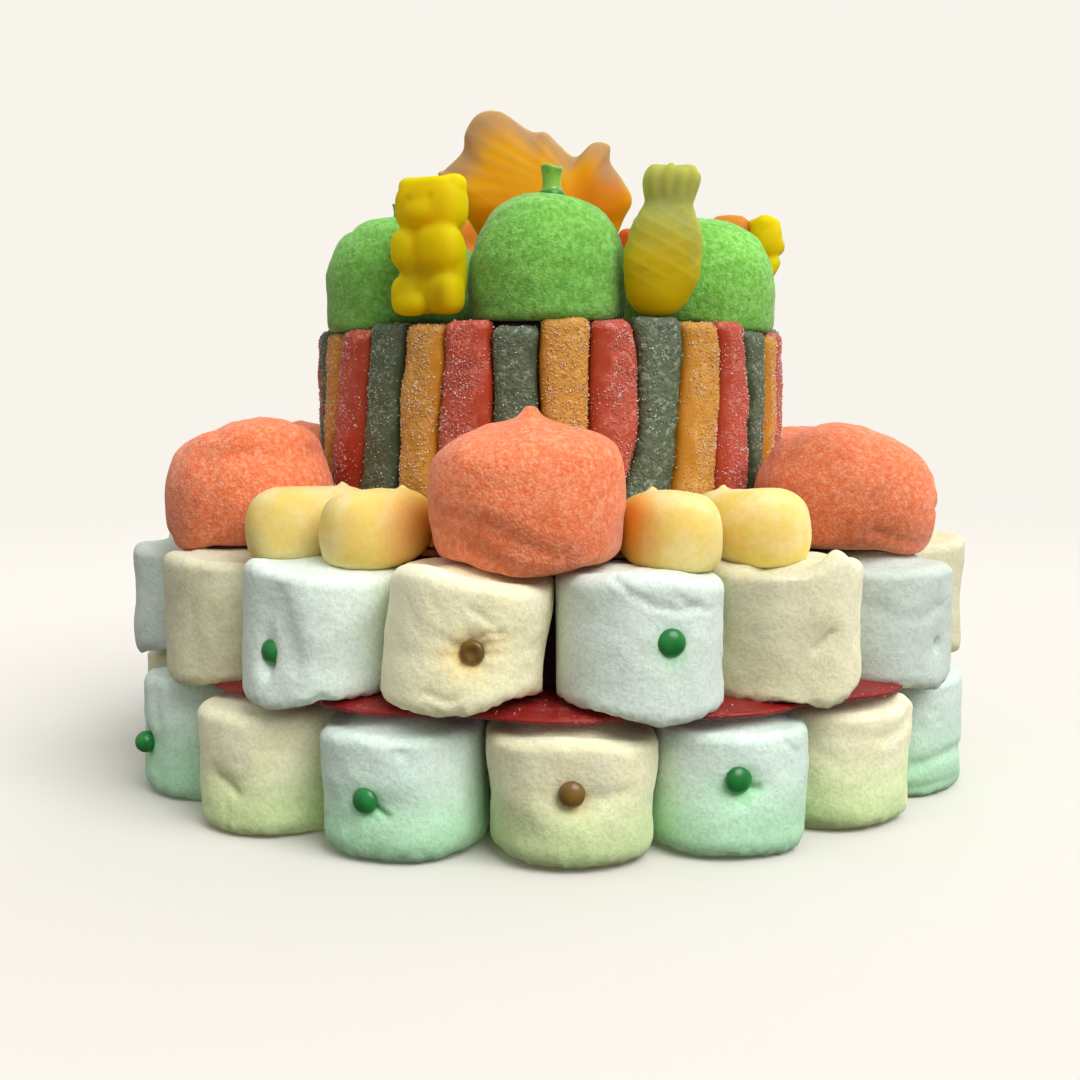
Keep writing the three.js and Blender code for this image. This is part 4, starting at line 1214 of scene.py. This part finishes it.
class BallSettings(bpy.types.PropertyGroup):
    """Sugar-coated balls and foam candies."""

    orange: colour_setting("Orange", "Coat of the orange balls", "#f98e60")
    orange_shade: colour_setting("Orange shade", "Gaps between orange grains", "#e76a33")
    green: colour_setting("Green", "Coat of the green balls", "#86cf57")
    green_shade: colour_setting("Green shade", "Gaps between green grains", "#5ca229")
    foam: colour_setting("Foam", "Yellow foam candy", "#ebd175")
    blush: colour_setting("Blush", "Orange tint on the foam candies", "#eaaa30")


class GummySettings(bpy.types.PropertyGroup):
    """Moulded gummies."""

    yellow: colour_setting("Yellow", "Heads of the bears", "#eecc00")
    yellow_foot: colour_setting("Yellow foot", "Feet of the bears", "#ddc400")
    yellow_deep: colour_setting("Yellow deep", "Thick parts of the bears", "#987600")
    pineapple: colour_setting("Pineapple", "Top of the pineapple", "#a9ad5e")
    pineapple_foot: colour_setting("Pineapple foot", "Foot of the pineapple", "#c9b000")
    pineapple_line: colour_setting("Pineapple lines", "Raised lines of the pineapple", "#c4c244")
    fan: colour_setting("Fan", "Upper part of the fan", "#f2b61e")
    fan_foot: colour_setting("Fan foot", "Lower part of the fan", "#fbac00")
    fan_edge: colour_setting("Fan edge", "Thin edge of the fan", "#ae9272")
    fan_deep: colour_setting("Fan deep", "Thick parts of the fan", "#da8500")
    dome: colour_setting("Dome", "Orange dome gummies", "#dc8a34")
    red: colour_setting("Red", "Gummy bear at the back", "#dd5a20")


class StageSettings(bpy.types.PropertyGroup):
    """Floor, light and camera."""

    paper: colour_setting("Paper", "Studio paper and backdrop", "#f8f4ec")
    key: bpy.props.FloatProperty(name="Key", description="Strength of the main light", default=2.85)
    rim: bpy.props.FloatProperty(name="Rim", description="Strength of the light from behind", default=0.5)
    ambient: bpy.props.FloatProperty(
        name="Ambient", description="Strength of the room's light", default=0.62)
    lens: bpy.props.FloatProperty(name="Lens", description="Focal length", unit="CAMERA", default=48.45)
    distance: length_setting("Distance", "Camera's distance in front of the cake's middle", 355)
    height: length_setting("Height", "Camera's height over the floor", 86.5)


SETTINGS = {
    "cake_marshmallows": MarshmallowSettings,
    "cake_picks": PickSettings,
    "cake_jelly": JellySettings,
    "cake_balls": BallSettings,
    "cake_gummies": GummySettings,
    "cake_stage": StageSettings,
}


# Operators

class CAKE_OT_marshmallows(bpy.types.Operator):
    """Build the two rings of marshmallows"""

    bl_idname = "cake.marshmallows"
    bl_label = "Marshmallows"

    def execute(self, context):
        settings = context.scene.cake_marshmallows
        yellow, stain = settings.yellow, settings.amber_stain
        # The lower ring's foot colours are painted green bounce light.
        materials = {
            ("lower", 1): marshmallow_material("marshmallow_yellow_lower", yellow, settings.yellow_foot,
                                               stain),
            ("upper", 1): marshmallow_material("marshmallow_yellow_upper", yellow, yellow, stain),
            ("lower", 0): marshmallow_material("marshmallow_mint", settings.mint, settings.mint_foot_bounce_light,
                                               settings.green_stain),
            ("upper", 0): marshmallow_material("marshmallow_blue", settings.blue, settings.blue,
                                               settings.green_stain),
        }
        slots = {("lower", 1): "yellow_marshmallow", ("upper", 1): "yellow_marshmallow",
                 ("lower", 0): "mint_marshmallow", ("upper", 0): "blue_marshmallow"}
        for ring_name, ring in RINGS.items():
            for number in range(1, MARSHMALLOWS_IN_RING + 1):
                kind = (ring_name, number % 2)
                seed = 100 * number + (0 if ring_name == "lower" else 5000)
                rings, values = marshmallow(ring_name, number, settings.radius / MM, seed)
                angle = ring["first_angle"] + (number - 1) * RING_STEP
                points, faces = closed_skin(around_cake(rings, ring["centre"], angle, ring["base"]))
                node = f"{ring_name}_marshmallow_{number:02d}"
                add_piece(f"soft_{node}", points, faces, materials[kind], [node], slots[kind], values)
        return {"FINISHED"}


class CAKE_OT_picks(bpy.types.Operator):
    """Build the heads of the picks"""

    bl_idname = "cake.picks"
    bl_label = "Pick heads"

    def execute(self, context):
        settings = context.scene.cake_picks
        beads = {1: [], 0: []}
        for ring_name, ring in RINGS.items():
            for number, (x, z, *sizes) in PICK_BEADS[ring_name].items():
                radius, proud = (*sizes, *(BEAD_RADIUS, BEAD_PROUD)[len(sizes):])
                surface = -math.sqrt(BEAD_SEAT ** 2 - x ** 2)
                points, faces = ball_mesh((0, 0, 0), radius)
                if proud < BEAD_ROUND_FROM:
                    points = points * (1, BEAD_FLATNESS, 1)
                points = points + (x, surface - proud - points[:, 1].min(), z)
                if (ring_name, number) == ("upper", 1):
                    points = dented(points, (x, surface - proud, z), 1.2, 0.9)
                angle = ring["first_angle"] + (number - 1) * RING_STEP
                beads[number % 2].append((around_cake(points, ring["centre"], angle, ring["base"]), faces))
        for odd, name, colour, slot in ((1, "pick_heads_amber", settings.amber, "yellow_marshmallow"),
                                        (0, "pick_heads_green", settings.green, "mint_marshmallow")):
            points, faces = merged(beads[odd])
            edge = tuple(min(1, c * 2.4 + 0.02) for c in colour)
            middles = np.concatenate([1 - smoothstep(np.linalg.norm(part - part[0], axis=1), 0.8, 1.9)
                                      for part, _ in beads[odd]])
            pale = np.clip(0.5 + 0.5 * bumps(points, 2, 31), 0, 1) * 0.5 + 0.6 * middles
            add_piece(name, points, faces, pick_material(name, colour, edge), [], slot, {"pale": pale})
        knots = [(0.2, 0), (2.7, 0), (2.9, 0.7), (2.7, 1.5), (2.2, 1.9), (2.0, 2.6), (2.0, 4.2), (2.15, 5.6),
                 (2.35, 6.5), (2.0, 6.9), (1.4, 6.5), (1.1, 5.2), (0.1, 4.8)]
        stems = []
        for ball in GREEN_BALLS:
            if ball["pick"]:
                rings = revolve(smooth_path(knots, 70), 40)
                turns = np.arctan2(rings[..., 1], rings[..., 0])
                rings[..., 2] += 0.35 * np.sin(2 * turns) * smoothstep(rings[..., 2], 5, 6.5)
                rings[..., 2] *= ball.get("pick_share", 1)
                rings += (*ball["pick"], 0)
                points, faces = closed_skin(rings)
                base = green_ball_base() + ball["height"] - 1
                stems.append((around_cake(points, GREEN_BALL_CENTRE, ball["angle"], base), faces))
        points, faces = merged(stems)
        height = np.concatenate([smoothstep(part[:, 2] - part[:, 2].min(), 1.4, 2.4) for part, _ in stems])
        add_piece("pick_heads_lime", points, faces,
                  pick_material("pick_heads_lime", settings.lime_foot, settings.lime), [], "green_sugar",
                  {"pale": height})
        return {"FINISHED"}


def green_ball_base():
    """Height that the topmost sweets stand on."""
    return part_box("green_ball_2")[0].z / MM


class CAKE_OT_jelly(bpy.types.Operator):
    """Build the belt and the upright strips, and finish the core"""

    bl_idname = "cake.jelly"
    bl_label = "Jelly belt, strips and core"

    def execute(self, context):
        settings = context.scene.cake_jelly
        belt_colours = (settings.belt, settings.belt_sugared, linear(GLINTS["belt"]))
        self.build_belt(sugared_jelly_material("belt_jelly", *belt_colours, bare_level=0.6))
        core = sugared_jelly_material("core_jelly", *map(linear, CORE_COLOURS))
        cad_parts["core"].data.materials.clear()
        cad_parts["core"].data.materials.append(core)
        self.build_strips(settings)
        return {"FINISHED"}

    def build_belt(self, material):
        low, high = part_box("belt")
        base, top = low.z / MM, high.z / MM
        steps, corners = 384, 28
        turns = np.linspace(0, 2 * math.pi, steps, endpoint=False)
        swell = np.cos(MARSHMALLOWS_IN_RING * (turns - math.radians(RINGS["upper"]["first_angle"])))
        shift = BELT_SHIFT * np.maximum(0, np.cos(turns - math.radians(BELT_SHIFT_ANGLE))) ** 2
        reach = BELT_OUTER_RADIUS + shift - BELT_WAVE * swell
        half = (top - base) / 2
        side = np.linspace(0, 2 * math.pi, corners, endpoint=False)
        across = np.sign(np.cos(side)) * np.abs(np.cos(side)) ** 0.35
        up = np.sign(np.sin(side)) * np.abs(np.sin(side)) ** 0.6
        middle, spread = (reach + BELT_INNER_RADIUS) / 2, (reach - BELT_INNER_RADIUS) / 2
        radius = middle[None, :] + spread[None, :] * across[:, None]
        rings = np.stack([radius * np.sin(turns), -radius * np.cos(turns),
                          np.repeat((base + half + half * up)[:, None], steps, axis=1)], axis=-1)
        rings[..., 2] += 0.12 * bumps(rings, 6, 71) * (np.abs(up[:, None]) < 0.9)
        rings[..., 2] -= BELT_DROOP * smoothstep(radius, 86, 95)
        points = rings.reshape(-1, 3)
        at = np.arange(corners * steps).reshape(corners, steps)
        above = np.roll(at, -1, axis=0)
        grid = [at, np.roll(at, -1, axis=1), np.roll(above, -1, axis=1), above]
        faces = np.stack(grid, axis=-1).reshape(-1, 4)
        add_piece("jelly_belt", points, faces.tolist(), material, ["belt"], "belt_jelly",
                  {"sugar": np.ones(len(points))})
        chance = (np.hypot(points[:, 0], points[:, 1]) > 84).astype(float)
        grains = grains_on(points, faces, chance, BELT_GRAIN, BELT_GRAINS, 72)
        crystals = crystal_material("belt_crystals", linear(BELT_CRYSTALS))
        add_piece("belt_sugar", *grains, crystals, [], "belt_jelly")

    def build_strips(self, settings):
        colours = {
            "orange": (settings.orange, settings.orange_sugared, linear(GLINTS["orange_strips"])),
            "red": (settings.red, settings.red_sugared, linear(GLINTS["red_strips"])),
            "green": (settings.green, settings.green_sugared, linear(GLINTS["green_strips"])),
        }
        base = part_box("strip_wall")[0].z / MM
        for first, kind in enumerate(STRIP_KINDS):
            strips, sugar = [], []
            for index in range(first, STRIP_COUNT, len(STRIP_KINDS)):
                rings, cover = jelly_strip(index, base, 900 + index)
                strips.append(closed_skin(rings))
                sugar.append(skin_values(cover))
            points, faces = merged(strips)
            sugar = np.concatenate(sugar)
            material = sugared_jelly_material(f"{kind}_jelly", *colours[kind], grain=0.85, bare_level=0.36)
            add_piece(f"{kind}_strips", points, faces, material, ["strip_wall"], "sugared_strips",
                      {"sugar": sugar})
            away = np.hypot(points[:, 0], points[:, 1])
            chance = np.where((away > 51) | (points[:, 2] > 100), sugar ** 2, 0)
            patches = 0.25 + smoothstep(bumps(points, 4, 55), -0.3, 0.5)
            grains = grains_on(points, np.array(faces, dtype=object), chance * patches,
                               settings.grain / MM, STRIP_GRAINS, 81 + first)
            pale = paler(colours[kind][1], 0.9)
            add_piece(f"{kind}_strip_sugar", *grains, crystal_material(f"{kind}_crystals", pale), [],
                      "sugared_strips")


class CAKE_OT_balls(bpy.types.Operator):
    """Build the orange and green sugar-coated balls"""

    bl_idname = "cake.balls"
    bl_label = "Sugar-coated balls"

    def execute(self, context):
        settings = context.scene.cake_balls
        orange = sugar_coat_material("orange_sugar_coat", settings.orange, settings.orange_shade,
                                     linear(GLINTS["orange_balls"]))
        green = sugar_coat_material("green_sugar_coat", settings.green, settings.green_shade,
                                    linear(GLINTS["green_balls"]))
        ring_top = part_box("orange_ball_1")[0].z / MM
        for index, ball in enumerate(ORANGE_BALLS):
            rings = orange_ball(ball, BALL_RELIEF.get(index, ()), 300 + 10 * index)
            # The last value, here and for the green balls, is how dark the painted shade leaves the foot.
            tone = skin_values(self.tone(rings, ball, 0.8))
            rings = around_cake(rings, ball["centre"], ball["angle"], ring_top)
            add_piece(f"sugared_orange_ball_{index + 1}", *closed_skin(rings), orange,
                      [f"orange_ball_{index + 1}"], "orange_sugar", {"tone": tone})
        for index, ball in enumerate(GREEN_BALLS):
            rings = green_ball(ball, 400 + 10 * index)
            tone = skin_values(self.tone(rings, ball, 0.7))
            rings = around_cake(rings, GREEN_BALL_CENTRE, ball["angle"], green_ball_base())
            add_piece(f"sugared_green_ball_{index + 1}", *closed_skin(rings), green,
                      [f"green_ball_{index + 1}"], "green_sugar", {"tone": tone})
        return {"FINISHED"}

    def tone(self, rings, ball, low):
        """Painted light and shade of a ball: darker towards its foot, and lighter or darker at its left and
        right.
        """
        rise = smoothstep(rings[..., 2] / ball["height"], -0.1, 0.75)
        left, right = ball.get("tone", (1, 1))
        share = smoothstep(rings[..., 0] / ball["radius"], -0.9, 0.9)
        return (left + (right - left) * share) * (low + (1 - low) * rise)


class CAKE_OT_foams(bpy.types.Operator):
    """Build the foam candies between the orange balls"""

    bl_idname = "cake.foams"
    bl_label = "Foam candies"

    def execute(self, context):
        settings = context.scene.cake_balls
        material = foam_material("foam_candy", settings.foam, settings.blush)
        ring_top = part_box("orange_ball_1")[0].z / MM
        for pair, (angle, spread) in enumerate(FOAM_PAIRS):
            halves, blush, tone = [], [], []
            for half, offset in enumerate((-spread / 2, spread / 2)):
                rings = foam_candy(500 + 10 * pair + half)
                towards = FOAM_BLUSH.get((pair, half), 0)
                tint = smoothstep(np.sign(towards) * rings[..., 0] + 0.3 * rings[..., 1], 1.5, 9)
                blush.append(skin_values(abs(towards) * tint))
                # Painted light and shade of this half, drawn lighter or darker.
                tone.append(np.full(len(blush[-1]), FOAM_PAINTED_LIGHT.get((pair, half), 1.0)))
                halves.append(closed_skin(around_cake(rings, FOAM_CENTRE, angle + offset, ring_top)))
            add_piece(f"soft_foam_pair_{pair + 1}", *merged(halves), material, [f"foam_pair_{pair + 1}"],
                      "foam", {"blush": np.concatenate(blush), "tone": np.concatenate(tone)})
        return {"FINISHED"}


class CAKE_OT_gummies(bpy.types.Operator):
    """Build the bears, domes, pineapples and the fan"""

    bl_idname = "cake.gummies"
    bl_label = "Gummies"

    def execute(self, context):
        settings = context.scene.cake_gummies
        base = green_ball_base()
        warm, deep = (1.0, 0.9, 0.05), (1.0, 0.5, 0.05)
        yellow = gummy_material("yellow_gummy", settings.yellow, settings.yellow_foot, warm,
                                settings.yellow, settings.yellow_deep)
        orange = gummy_material("orange_gummy", settings.dome, settings.dome, deep, settings.dome,
                                settings.dome)
        red = gummy_material("red_gummy", settings.red, settings.red, deep, settings.red, settings.red)
        pineapple = gummy_material("pineapple_gummy", settings.pineapple, settings.pineapple_foot, warm,
                                   settings.pineapple_line, settings.pineapple_foot)
        fan = gummy_material("fan_gummy", settings.fan, settings.fan_foot, deep, settings.fan_edge,
                             settings.fan_deep)

        def rise(points):
            low, high = points[:, 2].min(), points[:, 2].max()
            return (points[:, 2] - low) / (high - low)

        for node, bear in GUMMY_BEARS.items():
            points, faces = gummy_bear(bear["height"])
            thick = [spot(points[:, 0], points[:, 2], *sizes) for sizes in BEAR_DEPTHS]
            points[:, 1] += bear["tuck"] * (1 - smoothstep(points[:, 2], 8, 18))
            placed = around_cake(points, bear["radius"], bear["angle"], base + SWEETS_LIFT)
            material = red if node == "gummy_bear_2" else yellow
            add_piece(f"soft_{node}", placed, faces, material, [node], "yellow_gummy",
                      {"rise": rise(points), "deep": 0.5 * np.max(thick, axis=0)})
        for name, height, y, radius, angle, node in GUMMY_DOMES:
            rings = gummy_dome(height)
            rings[..., 1] += y
            points, faces = closed_skin(around_cake(rings, radius, angle, base))
            add_piece(name, points, faces, orange, [node], "orange_gummy", {"rise": rise(points)})
        for number, height, lean, angle in GUMMY_PINEAPPLES:
            rings, lines = gummy_pineapple(height, lean, 600 + number)
            points, faces = closed_skin(around_cake(rings, PINEAPPLE_RADIUS, angle, base + SWEETS_LIFT))
            material, node = pineapple if number == 1 else orange, f"gummy_pineapple_{number}"
            add_piece(f"soft_{node}", points, faces, material, [node], "pineapple_gummy",
                      {"rise": smoothstep(rise(points), 0.1, 0.86), "thin": skin_values(lines)})
        rings, thin, thick = gummy_fan()
        points, faces = closed_skin(rings)
        add_piece("soft_gummy_fan", points, faces, fan, ["gummy_shell"], "orange_gummy",
                  {"rise": smoothstep(points[:, 2], 124, 150), "thin": skin_values(thin),
                   "deep": skin_values(thick)})
        return {"FINISHED"}


class CAKE_OT_stage(bpy.types.Operator):
    """Build the floor, the lights and the camera"""

    bl_idname = "cake.stage"
    bl_label = "Stage"

    def execute(self, context):
        settings = context.scene.cake_stage
        self.build_paper(settings)
        self.build_lights(context.scene, settings)
        camera = bpy.data.objects.new("camera", bpy.data.cameras.new("camera"))
        camera.data.lens = settings.lens
        camera.data.sensor_width = 36
        camera.data.clip_start = 0.01
        camera.location = (CAMERA_ACROSS * MM, -settings.distance, settings.height)
        camera.rotation_euler = Euler((math.radians(90 + CAMERA_PITCH), 0, math.radians(CAMERA_YAW)))
        context.scene.collection.objects.link(camera)
        context.scene.camera = camera
        context.scene.view_settings.view_transform = "Standard"
        return {"FINISHED"}

    def build_paper(self, settings):
        """A wide sheet of paper under the cake, in a round backdrop of its own colour."""
        sheet = bmesh.new()
        bmesh.ops.create_circle(sheet, cap_ends=True, segments=128, radius=BACKDROP_RADIUS * MM)
        backdrop = bmesh.new()
        bmesh.ops.create_uvsphere(backdrop, u_segments=64, v_segments=32, radius=BACKDROP_RADIUS * MM)
        pieces = (("sheet", sheet, paper_material("studio_paper", settings.paper, lit=True)),
                  ("backdrop", backdrop, paper_material("backdrop_paper", settings.paper, lit=False)))
        for name, shape, material in pieces:
            mesh = bpy.data.meshes.new(name)
            shape.to_mesh(mesh)
            shape.free()
            mesh.materials.append(material)
            piece = bpy.data.objects.new(name, mesh)
            bpy.context.scene.collection.objects.link(piece)
            # Only the camera sees them, so that their white doesn't light the cake from below.
            piece.visible_diffuse = piece.visible_glossy = piece.visible_transmission = False
            piece.visible_shadow = False

    def build_lights(self, scene, settings):
        """A soft key from the upper right of the front, and a room that is brighter above."""
        lights = (("key", settings.key, KEY_WIDTH, KEY_FROM), ("rim", settings.rim, RIM_WIDTH, RIM_FROM))
        for name, strength, width, towards in lights:
            lamp = bpy.data.lights.new(name, "SUN")
            lamp.energy, lamp.angle = strength, math.radians(width)
            light = bpy.data.objects.new(name, lamp)
            light.location = Vector(towards)
            light.rotation_euler = Vector(towards).to_track_quat("Z", "Y").to_euler()
            scene.collection.objects.link(light)
        world = bpy.data.worlds.new("room")
        world.use_nodes = True
        tree = world.node_tree
        direction = add_node(tree, "TexCoord").outputs["Generated"]
        height = add_node(tree, "SeparateXYZ", links={"Vector": direction}).outputs["Z"]
        light = blend_colours(tree, span(tree, height, -0.6, 0.7), linear(ROOM_BELOW), linear(ROOM_ABOVE))
        background = tree.nodes["Background"]
        tree.links.new(light, background.inputs["Color"])
        background.inputs["Strength"].default_value = settings.ambient
        scene.world = world


class CAKE_PT_panel(bpy.types.Panel):
    """Settings and builders of the candy cake"""

    bl_idname = "CAKE_PT_panel"
    bl_label = "Candy Cake"
    bl_space_type = "VIEW_3D"
    bl_region_type = "UI"
    bl_category = "Candy Cake"

    def draw(self, context):
        layout = self.layout
        for name, group in SETTINGS.items():
            box = layout.box()
            box.label(text=group.__doc__)
            settings = getattr(context.scene, name)
            for prop in group.__annotations__:
                box.prop(settings, prop)
        for operator in OPERATORS:
            layout.operator(operator.bl_idname)


OPERATORS = (
    CAKE_OT_marshmallows,
    CAKE_OT_picks,
    CAKE_OT_jelly,
    CAKE_OT_balls,
    CAKE_OT_foams,
    CAKE_OT_gummies,
    CAKE_OT_stage,
)


def register():
    """Registers the settings, operators and panel."""
    for group in SETTINGS.values():
        bpy.utils.register_class(group)
    for name, group in SETTINGS.items():
        setattr(bpy.types.Scene, name, bpy.props.PointerProperty(type=group))
    for shown in (*OPERATORS, CAKE_PT_panel):
        bpy.utils.register_class(shown)


def unregister():
    """Takes everything out again."""
    for shown in (CAKE_PT_panel, *reversed(OPERATORS)):
        bpy.utils.unregister_class(shown)
    for name in SETTINGS:
        delattr(bpy.types.Scene, name)
    for group in reversed(list(SETTINGS.values())):
        bpy.utils.unregister_class(group)


def main():
    """Builds the whole cake."""
    register()
    bpy.ops.cake.marshmallows()
    bpy.ops.cake.picks()
    bpy.ops.cake.jelly()
    bpy.ops.cake.balls()
    bpy.ops.cake.foams()
    bpy.ops.cake.gummies()
    bpy.ops.cake.stage()


if __name__ == "__main__":
    main()
